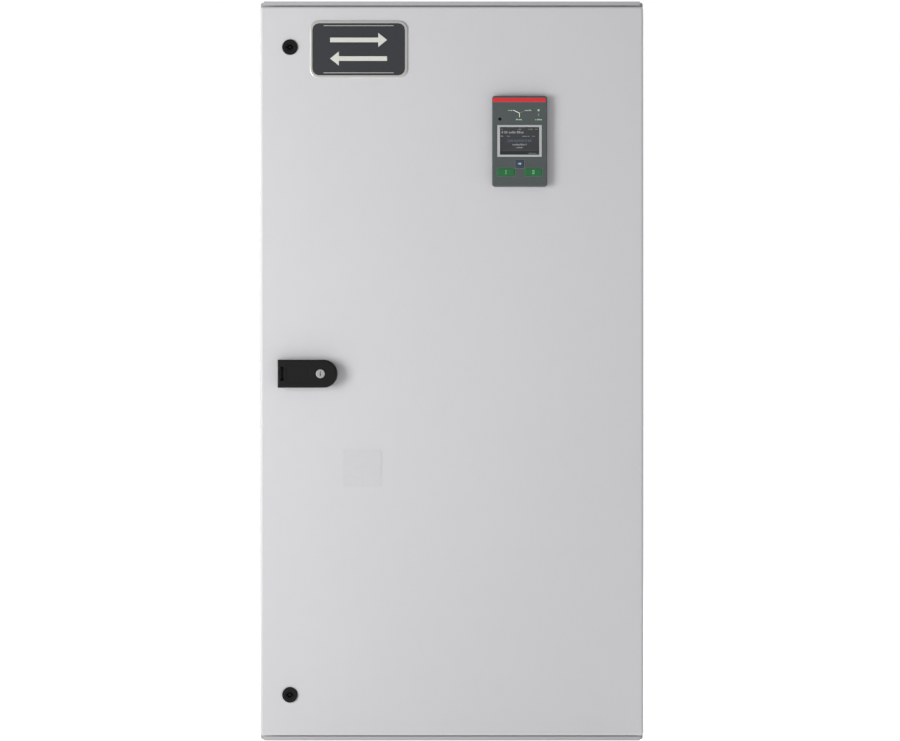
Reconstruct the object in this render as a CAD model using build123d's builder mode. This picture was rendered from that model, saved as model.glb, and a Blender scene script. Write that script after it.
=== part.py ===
"""Automatic transfer switch in a wall-mounted sheet-steel enclosure, with its door, latches, operator panel and
the double-throw switch inside.

Frame: millimetres, +Z up, +X to the right seen from the front. The wall is the plane Y = 0, the front faces -Y and
the origin is the centre of the four wall bolts. A depth is a distance in front of the wall, so Y = -depth.
"""

import math
import os

from build123d import *

# ---------------------------------------------------------------- driving dimensions
# Enclosure
WIDTH, HEIGHT = 700.0, 1350.0
SHEET = 2.0
FOLD_DEPTH = 280.0  # where the side walls fold inwards
FOLD_WIDTH = 24.0  # from the outside of the wall to the sealing lip
LIP_DEPTH = 294.0
HOOD_DEPTH = 300.0  # front of the drip hoods above and below the door
HOOD_HEIGHT = 7.5
HOOD_HALF = WIDTH / 2 - 6.5
CORNER = 4.0
WALL_BOLT_X, WALL_BOLT_Z, WALL_BOLT_R = 325.0, 640.0, 5.5
# Door
DOOR_BACK, DOOR_FRONT = 286.0, 304.0
DOOR_SKIN = DOOR_FRONT - SHEET
DOOR_HEIGHT = 1332.0
DOOR_CORNER, DOOR_BEND = 6.0, 5.0
# Hinges
HINGE_X, HINGE_DEPTH = 341.0, 295.0
HINGE_Z = (-500.0, 0.0, 500.0)
KNUCKLE_R, PIN_R = 6.0, 3.0
LEAF_HALF, NOTCH_HALF, KNUCKLE_END = 12.5, 14.0, 27.0
# Gland plates
GLAND_X, GLAND_DEPTH = 220.0, (60.0, 230.0)
GLAND_RIM, GLAND_SHEET = 20.0, 2.5
# Mounting plate
PLATE_X, PLATE_Z, PLATE_BACK, PLATE_FACE = 310.0, 630.0, 20.0, 22.5
STUD_X, STUD_Z, STUD_R = 285.0, 605.0, 4.0
# Latches
LATCH_X, LOCK_Z, HANDLE_Z = -295.5, 591.0, -5.0
LOCK_HEAD_R, LOCK_BARREL_R, INSERT_R = 14.25, 11.1, 8.0
CAM_DEPTH, CAM_THICK, CAM_REACH, CAM_WIDTH = 271.0, 3.0, 45.0, 18.0
CAM_SQUARE = 8.0
# Handle
HANDLE_LEFT, HANDLE_RIGHT, HANDLE_HALF = -317.5, -208.5, 25.5
BASE_THICK, LEVER_BACK, LEVER_FRONT = 5.0, 309.5, 326.0
LEVER_PIN_X, LEVER_PIN_DEPTH, LEVER_PIN_R = -310.0, 317.0, 1.5
KEY_X, KEY_R = -239.0, 8.1
# Operator panel
HMI_X, HMI_Z, HMI_WIDTH, HMI_HEIGHT = 123.5, 418.5, 100.0, 165.0
HMI_FRONT, HMI_WALL = 318.0, 3.0
SCREEN_Z, BEZEL_W, BEZEL_H, SCREEN_W, SCREEN_H = 419.0, 81.0, 58.0, 71.5, 50.5
BUTTON_OUT, BUTTON_Z, BUTTON_W, BUTTON_H = 25.0, 362.0, 31.0, 12.6
MENU_Z, MENU_SIDE = 377.2, 14.4
BUTTON_GAP = 0.3
# Transfer switch
SWITCH_Z, SHAFT_DEPTH = -80.0, 95.0
POLE_X = (-42.0, 24.0, 90.0, 156.0)
POLE_HALF, POLE_TALL, POLE_BACK, POLE_FRONT, POLE_WALL = 31.0, 150.0, 30.0, 166.0, 4.0
THROW = 45.0  # from off to either source, degrees
BLADE_R, BLADE_THICK, SHAFT_SIDE, JOURNAL_R = 59.0, 8.0, 20.0, 9.95
BAR_HALF, BAR_THICK, SOURCE_BAR_DEPTH, LOAD_BAR_DEPTH = 12.5, 6.0, 124.0, 50.0
CONTACT_GAP = 0.3
TERMINAL_HOLE_R = 5.5
MECH_X = (-189.0, -79.0)
MODULE, GEAR_TEETH, PINION_TEETH = 2.0, 36, 12
GEAR_X, LEVER_X, FLAG_X = -110.0, -150.0, -92.0
GEAR_CENTRES = MODULE * (GEAR_TEETH + PINION_TEETH) / 2 + 0.1
# Control gear
RAIL_Z, RAIL_X = 330.0, (-280.0, 60.0)
UNIT_X, UNIT_Z, UNIT_DEPTH = (120.0, 280.0), (200.0, 340.0), 85.0
CABLE_R = 3.0

pieces = {}


# ---------------------------------------------------------------- shared helpers
def front_plane(depth):
    """The plane parallel to the wall at a depth, whose sketches extrude towards the front."""
    return Plane.XZ.offset(depth)


def side_plane(x):
    """The plane across the width at x: sketch coordinates are (Y, Z)."""
    return Plane.YZ.offset(x)


def block(x, depth, z, mode=Mode.ADD):
    """A box between two limits in x, depth and z, in the active part."""
    with Locations(((x[0] + x[1]) / 2, -(depth[0] + depth[1]) / 2, (z[0] + z[1]) / 2)):
        Box(x[1] - x[0], depth[1] - depth[0], z[1] - z[0], mode=mode)


def rod_deep(x, z, radius, depth, mode=Mode.ADD):
    """A cylinder square to the wall, between two depths."""
    with Locations(Location((x, -(depth[0] + depth[1]) / 2, z), (90, 0, 0))):
        Cylinder(radius, depth[1] - depth[0], mode=mode)


def rod_wide(x, depth, z, radius, mode=Mode.ADD):
    """A cylinder across the width, between two x limits."""
    with Locations(Location(((x[0] + x[1]) / 2, -depth, z), (0, 90, 0))):
        Cylinder(radius, x[1] - x[0], mode=mode)


def rod_tall(x, depth, radius, z, mode=Mode.ADD):
    """An upright cylinder, between two heights."""
    with Locations((x, -depth, (z[0] + z[1]) / 2)):
        Cylinder(radius, z[1] - z[0], mode=mode)


def hexagon(x, z, radius, depth):
    """A hexagonal nut's outside, between two depths."""
    with BuildSketch(front_plane(depth[0])) as outline:
        with Locations((x, z)):
            RegularPolygon(radius, 6)
    extrude(outline.sketch, amount=depth[1] - depth[0])


def corners(half_x, half_z):
    """The four corner points of a rectangle centred on the origin."""
    return [(x, z) for x in (-half_x, half_x) for z in (-half_z, half_z)]


# ---------------------------------------------------------------- enclosure
with BuildPart() as enclosure_body:
    with BuildSketch(front_plane(0)):
        RectangleRounded(WIDTH, HEIGHT, CORNER)
    extrude(amount=FOLD_DEPTH)
    with BuildSketch(front_plane(SHEET)):
        RectangleRounded(WIDTH - 2 * SHEET, HEIGHT - 2 * SHEET, CORNER - SHEET)
    extrude(amount=FOLD_DEPTH - 2 * SHEET, mode=Mode.SUBTRACT)
    mouth = (WIDTH - 2 * FOLD_WIDTH, HEIGHT - 2 * FOLD_WIDTH)
    with BuildSketch(front_plane(FOLD_DEPTH)):
        Rectangle(*mouth)
    extrude(amount=LIP_DEPTH - FOLD_DEPTH)
    with BuildSketch(front_plane(FOLD_DEPTH - SHEET)):
        Rectangle(mouth[0] - 2 * SHEET, mouth[1] - 2 * SHEET)
    extrude(amount=LIP_DEPTH - FOLD_DEPTH + SHEET, mode=Mode.SUBTRACT)
    for side in (-1, 1):
        top = side * HEIGHT / 2
        skin = sorted((top, top - side * SHEET))
        drop = sorted((top, top - side * HOOD_HEIGHT))
        block((-HOOD_HALF, HOOD_HALF), (FOLD_DEPTH - SHEET, HOOD_DEPTH), skin)
        block((-HOOD_HALF, HOOD_HALF), (HOOD_DEPTH - SHEET, HOOD_DEPTH), drop)
        block((-GLAND_X, GLAND_X), GLAND_DEPTH, skin, Mode.SUBTRACT)
    hood_fronts = enclosure_body.edges().filter_by(Axis.X).filter_by(
        lambda e: abs(e.center().Y + HOOD_DEPTH) < 0.1 and abs(e.center().Z) > HEIGHT / 2 - 0.1
    )
    fillet(hood_fronts, radius=1.5)
    for x, z in corners(WALL_BOLT_X, WALL_BOLT_Z):
        rod_deep(x, z, WALL_BOLT_R, (0, SHEET), Mode.SUBTRACT)
    for x, z in corners(STUD_X, STUD_Z):
        rod_deep(x, z, 2 * STUD_R, (SHEET, PLATE_BACK))
        rod_deep(x, z, STUD_R, (PLATE_BACK, PLATE_BACK + 18))
    for z in (HEIGHT / 2 - 1, -HEIGHT / 2 + 1):
        for x in (-GLAND_X - 10, 0, GLAND_X + 10):
            for depth in (GLAND_DEPTH[0] - 10, GLAND_DEPTH[1] + 10):
                rod_tall(x, depth, 2.5, (z - 1, z + 1), Mode.SUBTRACT)
pieces["enclosure_body"] = enclosure_body

with BuildPart() as gland_plates:
    for side in (-1, 1):
        face = side * (HEIGHT / 2 - SHEET)
        span = sorted((face, face - side * GLAND_SHEET))
        block(
            (-GLAND_X - GLAND_RIM, GLAND_X + GLAND_RIM),
            (GLAND_DEPTH[0] - GLAND_RIM, GLAND_DEPTH[1] + GLAND_RIM),
            span,
        )
        for x in (-GLAND_X - 10, 0, GLAND_X + 10):
            for depth in (GLAND_DEPTH[0] - 10, GLAND_DEPTH[1] + 10):
                rod_tall(x, depth, 2.75, span, Mode.SUBTRACT)
pieces["gland_plates"] = gland_plates

with BuildPart() as mounting_plate:
    with BuildSketch(front_plane(PLATE_BACK)):
        Rectangle(2 * PLATE_X, 2 * PLATE_Z)
    extrude(amount=PLATE_FACE - PLATE_BACK)
    for side in (-1, 1):
        block(sorted((side * PLATE_X, side * (PLATE_X - 2.5))), (PLATE_BACK, 36), (-PLATE_Z, PLATE_Z))
    for x, z in corners(STUD_X, STUD_Z):
        rod_deep(x, z, STUD_R + 0.5, (PLATE_BACK, PLATE_FACE), Mode.SUBTRACT)
pieces["mounting_plate"] = mounting_plate

with BuildPart() as mounting_nuts:
    for x, z in corners(STUD_X, STUD_Z):
        rod_deep(x, z, 9, (PLATE_FACE, PLATE_FACE + 1.6))
        hexagon(x, z, 7.5, (PLATE_FACE + 1.6, PLATE_FACE + 8))
        rod_deep(x, z, STUD_R + 0.05, (PLATE_FACE, PLATE_FACE + 8), Mode.SUBTRACT)
pieces["mounting_nuts"] = mounting_nuts

# ---------------------------------------------------------------- hinges
with BuildPart() as hinge_frame_leaves:
    for z in HINGE_Z:
        span = (z - LEAF_HALF, z + LEAF_HALF)
        block((HINGE_X - 14, HINGE_X), (FOLD_DEPTH, FOLD_DEPTH + 3), span)
        block((HINGE_X - KNUCKLE_R, HINGE_X), (FOLD_DEPTH + 3, HINGE_DEPTH), span)
        rod_tall(HINGE_X, HINGE_DEPTH, KNUCKLE_R, span)
        rod_tall(HINGE_X, HINGE_DEPTH, PIN_R + 0.05, span, Mode.SUBTRACT)
pieces["hinge_frame_leaves"] = hinge_frame_leaves

with BuildPart() as hinge_door_knuckles:
    for z in HINGE_Z:
        for span in ((z - KNUCKLE_END, z - NOTCH_HALF), (z + NOTCH_HALF, z + KNUCKLE_END)):
            rod_tall(HINGE_X, HINGE_DEPTH, KNUCKLE_R, span)
            block((HINGE_X, WIDTH / 2 - SHEET), (HINGE_DEPTH - 5, HINGE_DEPTH + 3.9), span)
            rod_tall(HINGE_X, HINGE_DEPTH, PIN_R + 0.05, span, Mode.SUBTRACT)
pieces["hinge_door_knuckles"] = hinge_door_knuckles

with BuildPart() as hinge_pins:
    for z in HINGE_Z:
        rod_tall(HINGE_X, HINGE_DEPTH, PIN_R, (z - KNUCKLE_END - 1, z + KNUCKLE_END + 0.3))
        rod_tall(HINGE_X, HINGE_DEPTH, 4.5, (z + KNUCKLE_END + 0.3, z + KNUCKLE_END + 2.3))
pieces["hinge_pins"] = hinge_pins

# ---------------------------------------------------------------- door
with BuildPart() as door_panel:
    with BuildSketch(front_plane(DOOR_BACK)):
        RectangleRounded(WIDTH, DOOR_HEIGHT, DOOR_CORNER)
    extrude(amount=DOOR_FRONT - DOOR_BACK)
    fillet(door_panel.faces().sort_by(Axis.Y)[0].edges(), radius=DOOR_BEND)
    offset(amount=-SHEET, openings=door_panel.faces().sort_by(Axis.Y)[-1])
    with BuildSketch(front_plane(DOOR_SKIN)):
        with Locations((HMI_X, HMI_Z)):
            Rectangle(HMI_WIDTH - 10, HMI_HEIGHT - 13)
        with Locations((LATCH_X, LOCK_Z), (LATCH_X, -LOCK_Z)):
            Circle(LOCK_BARREL_R + 0.15)
        with Locations((LATCH_X, HANDLE_Z)):
            Circle(10)
        with Locations((-268, HANDLE_Z), (-216, HANDLE_Z)):
            Circle(2.7)
    extrude(amount=SHEET, mode=Mode.SUBTRACT)
    for z in HINGE_Z:
        block(
            (WIDTH / 2 - SHEET, WIDTH / 2),
            (DOOR_BACK, HINGE_DEPTH + 5),
            (z - NOTCH_HALF, z + NOTCH_HALF),
            Mode.SUBTRACT,
        )
pieces["door_panel"] = door_panel

with BuildPart() as door_gasket:
    with BuildSketch(front_plane(LIP_DEPTH + 0.3)):
        RectangleRounded(662, 1312, 12)
        RectangleRounded(638, 1288, 6, mode=Mode.SUBTRACT)
    extrude(amount=DOOR_SKIN - LIP_DEPTH - 0.3)
    fillet(door_gasket.faces().sort_by(Axis.Y)[-1].edges(), radius=2.5)
pieces["door_gasket"] = door_gasket

with BuildPart() as door_stiffeners:
    for z in (225.0, -330.0):
        block((-270, 290), (DOOR_SKIN - 14, DOOR_SKIN), (z - 16, z + 16))
        block((-270, 290), (DOOR_SKIN - 12.5, DOOR_SKIN), (z - 14.5, z + 14.5), Mode.SUBTRACT)
        with Locations(*[Location((x, -DOOR_SKIN + 13.25, z), (90, 0, 0)) for x in range(-250, 271, 40)]):
            Cylinder(4.5, 3, mode=Mode.SUBTRACT)
pieces["door_stiffeners"] = door_stiffeners

with BuildPart() as badge_plate:
    with BuildSketch(front_plane(DOOR_FRONT)):
        with Locations((-170, 587)):
            RectangleRounded(178, 104, 16)
    extrude(amount=2.5)
    fillet(badge_plate.faces().sort_by(Axis.Y)[0].edges(), radius=1.2)
pieces["badge_plate"] = badge_plate

with BuildPart() as blank_label:
    with BuildSketch(front_plane(DOOR_FRONT)):
        with Locations((-163.3, -177.4)):
            RectangleRounded(71, 68, 3)
    extrude(amount=0.4)
pieces["blank_label"] = blank_label

POCKET_X, POCKET_Z, POCKET_DEEP, POCKET_WALL = 118.0, (-290.0, -60.0), 26.0, 2.2
with BuildPart() as document_pocket:
    block((-POCKET_X, POCKET_X), (DOOR_SKIN - POCKET_DEEP, DOOR_SKIN), POCKET_Z)
    fillet(document_pocket.edges().filter_by(Axis.Z), radius=4)
    block(
        (-POCKET_X + POCKET_WALL, POCKET_X - POCKET_WALL),
        (DOOR_SKIN - POCKET_DEEP + POCKET_WALL, DOOR_SKIN - POCKET_WALL),
        (POCKET_Z[0] + POCKET_WALL, POCKET_Z[1]),
        Mode.SUBTRACT,
    )
    with BuildSketch(front_plane(DOOR_SKIN - POCKET_DEEP)):
        with Locations((0, POCKET_Z[1])):
            Ellipse(60, 45)
    extrude(amount=POCKET_WALL, mode=Mode.SUBTRACT)
pieces["document_pocket"] = document_pocket

# ---------------------------------------------------------------- quarter-turn locks
with BuildPart() as lock_housings:
    for z in (LOCK_Z, -LOCK_Z):
        rod_deep(LATCH_X, z, LOCK_HEAD_R, (DOOR_FRONT, DOOR_FRONT + 3))
        rod_deep(LATCH_X, z, LOCK_BARREL_R, (CAM_DEPTH + CAM_THICK + 1, DOOR_FRONT))
    fillet(
        lock_housings.edges().filter_by(GeomType.CIRCLE).filter_by(
            lambda e: e.center().Y < -DOOR_FRONT - 2
        ),
        radius=1.5,
    )
    for z in (LOCK_Z, -LOCK_Z):
        rod_deep(LATCH_X, z, INSERT_R + 0.06, (CAM_DEPTH, DOOR_FRONT + 3), Mode.SUBTRACT)
pieces["lock_housings"] = lock_housings

with BuildPart() as door_nuts:
    for z in (LOCK_Z, -LOCK_Z):
        hexagon(LATCH_X, z, 16, (DOOR_SKIN - 5, DOOR_SKIN))
        rod_deep(LATCH_X, z, LOCK_BARREL_R + 0.05, (DOOR_SKIN - 5, DOOR_SKIN), Mode.SUBTRACT)
    for x in (-268, -216):
        hexagon(x, HANDLE_Z, 5, (DOOR_SKIN - 4, DOOR_SKIN))
        rod_deep(x, HANDLE_Z, 2.55, (DOOR_SKIN - 4, DOOR_SKIN), Mode.SUBTRACT)
pieces["door_nuts"] = door_nuts


def quarter_turn_stem(z):
    """The round stem, square seat and riveted end that carry a latch cam."""
    rod_deep(LATCH_X, z, INSERT_R, (CAM_DEPTH + CAM_THICK, DOOR_FRONT + 1.5))
    half = CAM_SQUARE / 2
    block((LATCH_X - half, LATCH_X + half), (CAM_DEPTH, CAM_DEPTH + CAM_THICK), (z - half, z + half))
    rod_deep(LATCH_X, z, 6, (CAM_DEPTH - 1.5, CAM_DEPTH))


def lock_insert(z):
    """A turning insert with a double-bit socket: a ring recess with a centre pin and two wings."""
    with BuildPart() as made:
        quarter_turn_stem(z)
        face = DOOR_FRONT + 1.5
        rod_deep(LATCH_X, z, 5.2, (face - 9, face), Mode.SUBTRACT)
        block((LATCH_X - 7.2, LATCH_X + 7.2), (face - 3, face), (z - 1.6, z + 1.6), Mode.SUBTRACT)
        rod_deep(LATCH_X, z, 2.2, (face - 9, face - 0.5))
    return made


def lock_cam(z):
    """A flat cam hanging down from its square seat, clear of the frame's fold."""
    with BuildPart() as made:
        with BuildSketch(front_plane(CAM_DEPTH)) as outline:
            with Locations((LATCH_X, z - CAM_REACH / 2)):
                Rectangle(CAM_WIDTH, CAM_REACH)
            fillet(outline.vertices().sort_by(Axis.Y)[:2], radius=4)
            with Locations((LATCH_X, z)):
                Circle(CAM_WIDTH / 2)
                Rectangle(CAM_SQUARE + 0.1, CAM_SQUARE + 0.1, mode=Mode.SUBTRACT)
        extrude(amount=CAM_THICK)
    return made


for end, z in (("top", LOCK_Z), ("bottom", -LOCK_Z)):
    pieces[f"lock_insert_{end}"] = lock_insert(z)
    pieces[f"lock_cam_{end}"] = lock_cam(z)
pieces["handle_cam"] = lock_cam(HANDLE_Z)


# ---------------------------------------------------------------- swing handle
def handle_outline(inset):
    """The handle's outline, square at the left and round at the right, in the active sketch."""
    half = HANDLE_HALF - inset
    left, centre = HANDLE_LEFT + inset, HANDLE_RIGHT - HANDLE_HALF
    with Locations(((left + centre) / 2, HANDLE_Z)):
        Rectangle(centre - left, 2 * half)
    with Locations((centre, HANDLE_Z)):
        Circle(half)


with BuildPart() as handle_base:
    top = DOOR_FRONT + BASE_THICK
    with BuildSketch(front_plane(DOOR_FRONT)):
        handle_outline(0)
    extrude(amount=BASE_THICK)
    chamfer(handle_base.faces().sort_by(Axis.Y)[0].edges(), length=1.2)
    rod_deep(LATCH_X, HANDLE_Z, 20.2, (DOOR_FRONT, top), Mode.SUBTRACT)
    rod_deep(KEY_X, HANDLE_Z, 12, (top - 1.5, top), Mode.SUBTRACT)
    for x in (-268, -216):
        rod_deep(x, HANDLE_Z, 2.5, (DOOR_SKIN - 8, DOOR_FRONT))
pieces["handle_base"] = handle_base

EAR_Z = (9.5, 12.5)
with BuildPart() as handle_hub:
    rod_deep(LATCH_X, HANDLE_Z, 20, (DOOR_FRONT + 0.2, DOOR_FRONT + BASE_THICK))
    quarter_turn_stem(HANDLE_Z)
    for side in (-1, 1):
        span = sorted((HANDLE_Z + side * EAR_Z[0], HANDLE_Z + side * EAR_Z[1]))
        block((LEVER_PIN_X - 3.3, LEVER_PIN_X + 3.3), (DOOR_FRONT + BASE_THICK, LEVER_PIN_DEPTH), span)
        block((LEVER_PIN_X, LEVER_PIN_X + 8), (DOOR_FRONT + BASE_THICK - 0.5, LEVER_PIN_DEPTH - 5), span)
        rod_tall(LEVER_PIN_X, LEVER_PIN_DEPTH, 3.3, span)
        rod_tall(LEVER_PIN_X, LEVER_PIN_DEPTH, LEVER_PIN_R + 0.05, span, Mode.SUBTRACT)
pieces["handle_hub"] = handle_hub

with BuildPart() as lever_pin:
    rod_tall(LEVER_PIN_X, LEVER_PIN_DEPTH, LEVER_PIN_R, (HANDLE_Z - 15.8, HANDLE_Z + 15.8))
pieces["lever_pin"] = lever_pin

LEVER_WALL, LEVER_INSET = 3.0, 0.7
with BuildPart() as handle_lever:
    with BuildSketch(front_plane(LEVER_BACK)):
        handle_outline(LEVER_INSET)
    extrude(amount=LEVER_FRONT - LEVER_BACK)
    heel = handle_lever.edges().filter_by(Axis.Z).filter_by(
        lambda e: e.center().X < HANDLE_LEFT + 2 and e.center().Y > -LEVER_BACK - 0.1
    )
    fillet(heel, radius=6.8)
    fillet(handle_lever.faces().sort_by(Axis.Y)[0].edges(), radius=2.4)
    with BuildSketch(front_plane(LEVER_BACK)):
        handle_outline(LEVER_INSET + LEVER_WALL)
    extrude(amount=LEVER_FRONT - LEVER_BACK - 3.5, mode=Mode.SUBTRACT)
    rod_deep(KEY_X, HANDLE_Z, KEY_R + 3.4, (LEVER_BACK + 3.5, LEVER_FRONT - 1))
    rod_deep(KEY_X, HANDLE_Z, KEY_R + 0.06, (LEVER_BACK, LEVER_FRONT), Mode.SUBTRACT)
    for side in (-1, 1):
        span = sorted((HANDLE_Z + side * 12.8, HANDLE_Z + side * 15.8))
        block((LEVER_PIN_X - 4.5, LEVER_PIN_X + 4.5), (LEVER_PIN_DEPTH, LEVER_FRONT - 3), span)
        rod_tall(LEVER_PIN_X, LEVER_PIN_DEPTH, 4.5, span)
        rod_tall(LEVER_PIN_X, LEVER_PIN_DEPTH, LEVER_PIN_R + 0.02, span, Mode.SUBTRACT)
    block((-313, -305.7), (LEVER_FRONT - 5, LEVER_FRONT), (HANDLE_Z - 12.6, HANDLE_Z + 12.6), Mode.SUBTRACT)
    # the heel is open between the lever's ears, so that it clears the hub as it lifts
    block((HANDLE_LEFT, -312), (LEVER_BACK, LEVER_FRONT - 5.5), (HANDLE_Z - 12.7, HANDLE_Z + 12.7), Mode.SUBTRACT)
    # a shallow thumb panel between the slot and the key
    with BuildSketch(front_plane(LEVER_FRONT - 0.6)):
        with Locations((-280, HANDLE_Z)):
            RectangleRounded(42, 34, 3)
    extrude(amount=0.6, mode=Mode.SUBTRACT)
pieces["handle_lever"] = handle_lever

with BuildPart() as key_plug:
    rod_deep(KEY_X, HANDLE_Z, KEY_R, (LEVER_BACK + 3.5, LEVER_FRONT + 0.6))
    fillet(key_plug.faces().sort_by(Axis.Y)[0].edges(), radius=0.6)
    rod_deep(KEY_X, HANDLE_Z, 3.5, (LEVER_BACK + 2, LEVER_BACK + 3.5))
    block((KEY_X - 3, KEY_X + 3), (LEVER_BACK + 0.2, LEVER_BACK + 2), (HANDLE_Z - 12, HANDLE_Z + 12))
    block(
        (KEY_X - 0.9, KEY_X + 0.9),
        (LEVER_FRONT - 7, LEVER_FRONT + 1),
        (HANDLE_Z - 4.4, HANDLE_Z + 4.4),
        Mode.SUBTRACT,
    )
pieces["key_plug"] = key_plug

# ---------------------------------------------------------------- operator panel
BUTTONS = {
    "button_source_1": (HMI_X - BUTTON_OUT, BUTTON_Z, BUTTON_W, BUTTON_H),
    "button_source_2": (HMI_X + BUTTON_OUT, BUTTON_Z, BUTTON_W, BUTTON_H),
    "button_menu": (HMI_X, MENU_Z, MENU_SIDE, MENU_SIDE),
}
NECK_W, NECK_H = HMI_WIDTH - 12, HMI_HEIGHT - 15
with BuildPart() as hmi_housing:
    with BuildSketch(front_plane(DOOR_FRONT)):
        with Locations((HMI_X, HMI_Z)):
            RectangleRounded(HMI_WIDTH, HMI_HEIGHT, 5)
    extrude(amount=HMI_FRONT - DOOR_FRONT)
    fillet(hmi_housing.faces().sort_by(Axis.Y)[0].edges(), radius=1.8)
    with BuildSketch(front_plane(DOOR_SKIN - 6)):
        with Locations((HMI_X, HMI_Z)):
            Rectangle(NECK_W, NECK_H)
    extrude(amount=DOOR_FRONT - DOOR_SKIN + 6)
    with BuildSketch(front_plane(DOOR_SKIN - 6)):
        with Locations((HMI_X, HMI_Z)):
            Rectangle(NECK_W - 3, NECK_H - 3)
    extrude(amount=HMI_FRONT - HMI_WALL - DOOR_SKIN + 6, mode=Mode.SUBTRACT)
    with BuildSketch(front_plane(HMI_FRONT - HMI_WALL)):
        with Locations((HMI_X, SCREEN_Z)):
            Rectangle(BEZEL_W, BEZEL_H)
        for x, z, wide, tall in BUTTONS.values():
            with Locations((x, z)):
                RectangleRounded(wide + 2 * BUTTON_GAP, tall + 2 * BUTTON_GAP, 2 + BUTTON_GAP)
        with Locations((87.6, 458.8)):
            Circle(2.9)
    extrude(amount=HMI_WALL, mode=Mode.SUBTRACT)
pieces["hmi_housing"] = hmi_housing

with BuildPart() as hmi_screen_bezel:
    with BuildSketch(front_plane(HMI_FRONT - HMI_WALL)):
        with Locations((HMI_X, SCREEN_Z)):
            Rectangle(BEZEL_W, BEZEL_H)
    extrude(amount=HMI_WALL + 0.5)
    fillet(hmi_screen_bezel.faces().sort_by(Axis.Y)[0].edges(), radius=0.8)
    with BuildSketch(front_plane(HMI_FRONT - HMI_WALL)):
        with Locations((HMI_X, SCREEN_Z)):
            Rectangle(SCREEN_W, SCREEN_H)
    extrude(amount=HMI_WALL + 0.5, mode=Mode.SUBTRACT)
pieces["hmi_screen_bezel"] = hmi_screen_bezel

with BuildPart() as hmi_screen:
    with BuildSketch(front_plane(HMI_FRONT - HMI_WALL - 4)):
        with Locations((HMI_X, SCREEN_Z)):
            Rectangle(BEZEL_W - 3, BEZEL_H - 3)
    extrude(amount=4)
    with BuildSketch(front_plane(HMI_FRONT - HMI_WALL)):
        with Locations((HMI_X, SCREEN_Z)):
            Rectangle(SCREEN_W - 0.4, SCREEN_H - 0.4)
    extrude(amount=HMI_WALL - 1)
pieces["hmi_screen"] = hmi_screen

with BuildPart() as hmi_circuit_board:
    block((HMI_X - 40, HMI_X + 40), (300, 301.6), (HMI_Z - 70, HMI_Z + 70))
    block((HMI_X - 12, HMI_X + 12), (301.6, 304), (HMI_Z + 30, HMI_Z + 54))
    for x in (-28, -16, 16, 28):
        block((HMI_X + x - 4, HMI_X + x + 4), (293, 300), (HMI_Z - 62, HMI_Z - 46))
    block((HMI_X - 30, HMI_X + 30), (296, 300), (HMI_Z - 20, HMI_Z + 10))
pieces["hmi_circuit_board"] = hmi_circuit_board

REAR = (DOOR_SKIN - 34, DOOR_SKIN - 6)
with BuildPart() as hmi_rear_cover:
    block((HMI_X - NECK_W / 2, HMI_X + NECK_W / 2), REAR, (HMI_Z - NECK_H / 2, HMI_Z + NECK_H / 2))
    fillet(hmi_rear_cover.edges().filter_by(Axis.Y), radius=3)
    fillet(hmi_rear_cover.faces().sort_by(Axis.Y)[-1].edges(), radius=2)
    block(
        (HMI_X - NECK_W / 2 + 2.2, HMI_X + NECK_W / 2 - 2.2),
        (REAR[0] + 2.2, REAR[1]),
        (HMI_Z - NECK_H / 2 + 2.2, HMI_Z + NECK_H / 2 - 2.2),
        Mode.SUBTRACT,
    )
    for z in range(-40, 61, 8):
        block((HMI_X - 26, HMI_X + 26), (REAR[0], REAR[0] + 2.2), (HMI_Z + z, HMI_Z + z + 3), Mode.SUBTRACT)
pieces["hmi_rear_cover"] = hmi_rear_cover


def panel_button(x, z, wide, tall):
    """A key cap with the flange that holds it behind the panel's front wall."""
    with BuildPart() as made:
        with BuildSketch(front_plane(HMI_FRONT - HMI_WALL - 1.8)):
            with Locations((x, z)):
                RectangleRounded(wide, tall, 2)
        extrude(amount=HMI_WALL + 2.6)
        fillet(made.faces().sort_by(Axis.Y)[0].edges(), radius=0.7)
        with BuildSketch(front_plane(HMI_FRONT - HMI_WALL - 1.8)):
            with Locations((x, z)):
                RectangleRounded(wide + 2.4, tall + 1.6, 2)
        extrude(amount=1.5)
    return made


for name, spec in BUTTONS.items():
    pieces[name] = panel_button(*spec)


# ---------------------------------------------------------------- transfer switch: poles
def upright(x, depth, low, high, half=BAR_HALF, thick=BAR_THICK, mode=Mode.ADD):
    """A flat bar standing in a pole, from its low end to its high end."""
    block((x - half, x + half), (depth, depth + thick), (SWITCH_Z + low, SWITCH_Z + high), mode)


with BuildPart() as switch_base:
    block((-196, 196), (PLATE_FACE, POLE_BACK), (SWITCH_Z - 176, SWITCH_Z + 176))
    block((-196, 196), (PLATE_FACE, POLE_BACK - 2.5), (SWITCH_Z - 173.5, SWITCH_Z + 173.5), Mode.SUBTRACT)
    for x, z in corners(180, 163):
        with Locations(Location((x, -POLE_BACK + 1.25, SWITCH_Z + z), (90, 0, 0))):
            Cylinder(3.5, 3, mode=Mode.SUBTRACT)
pieces["switch_base"] = switch_base

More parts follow.
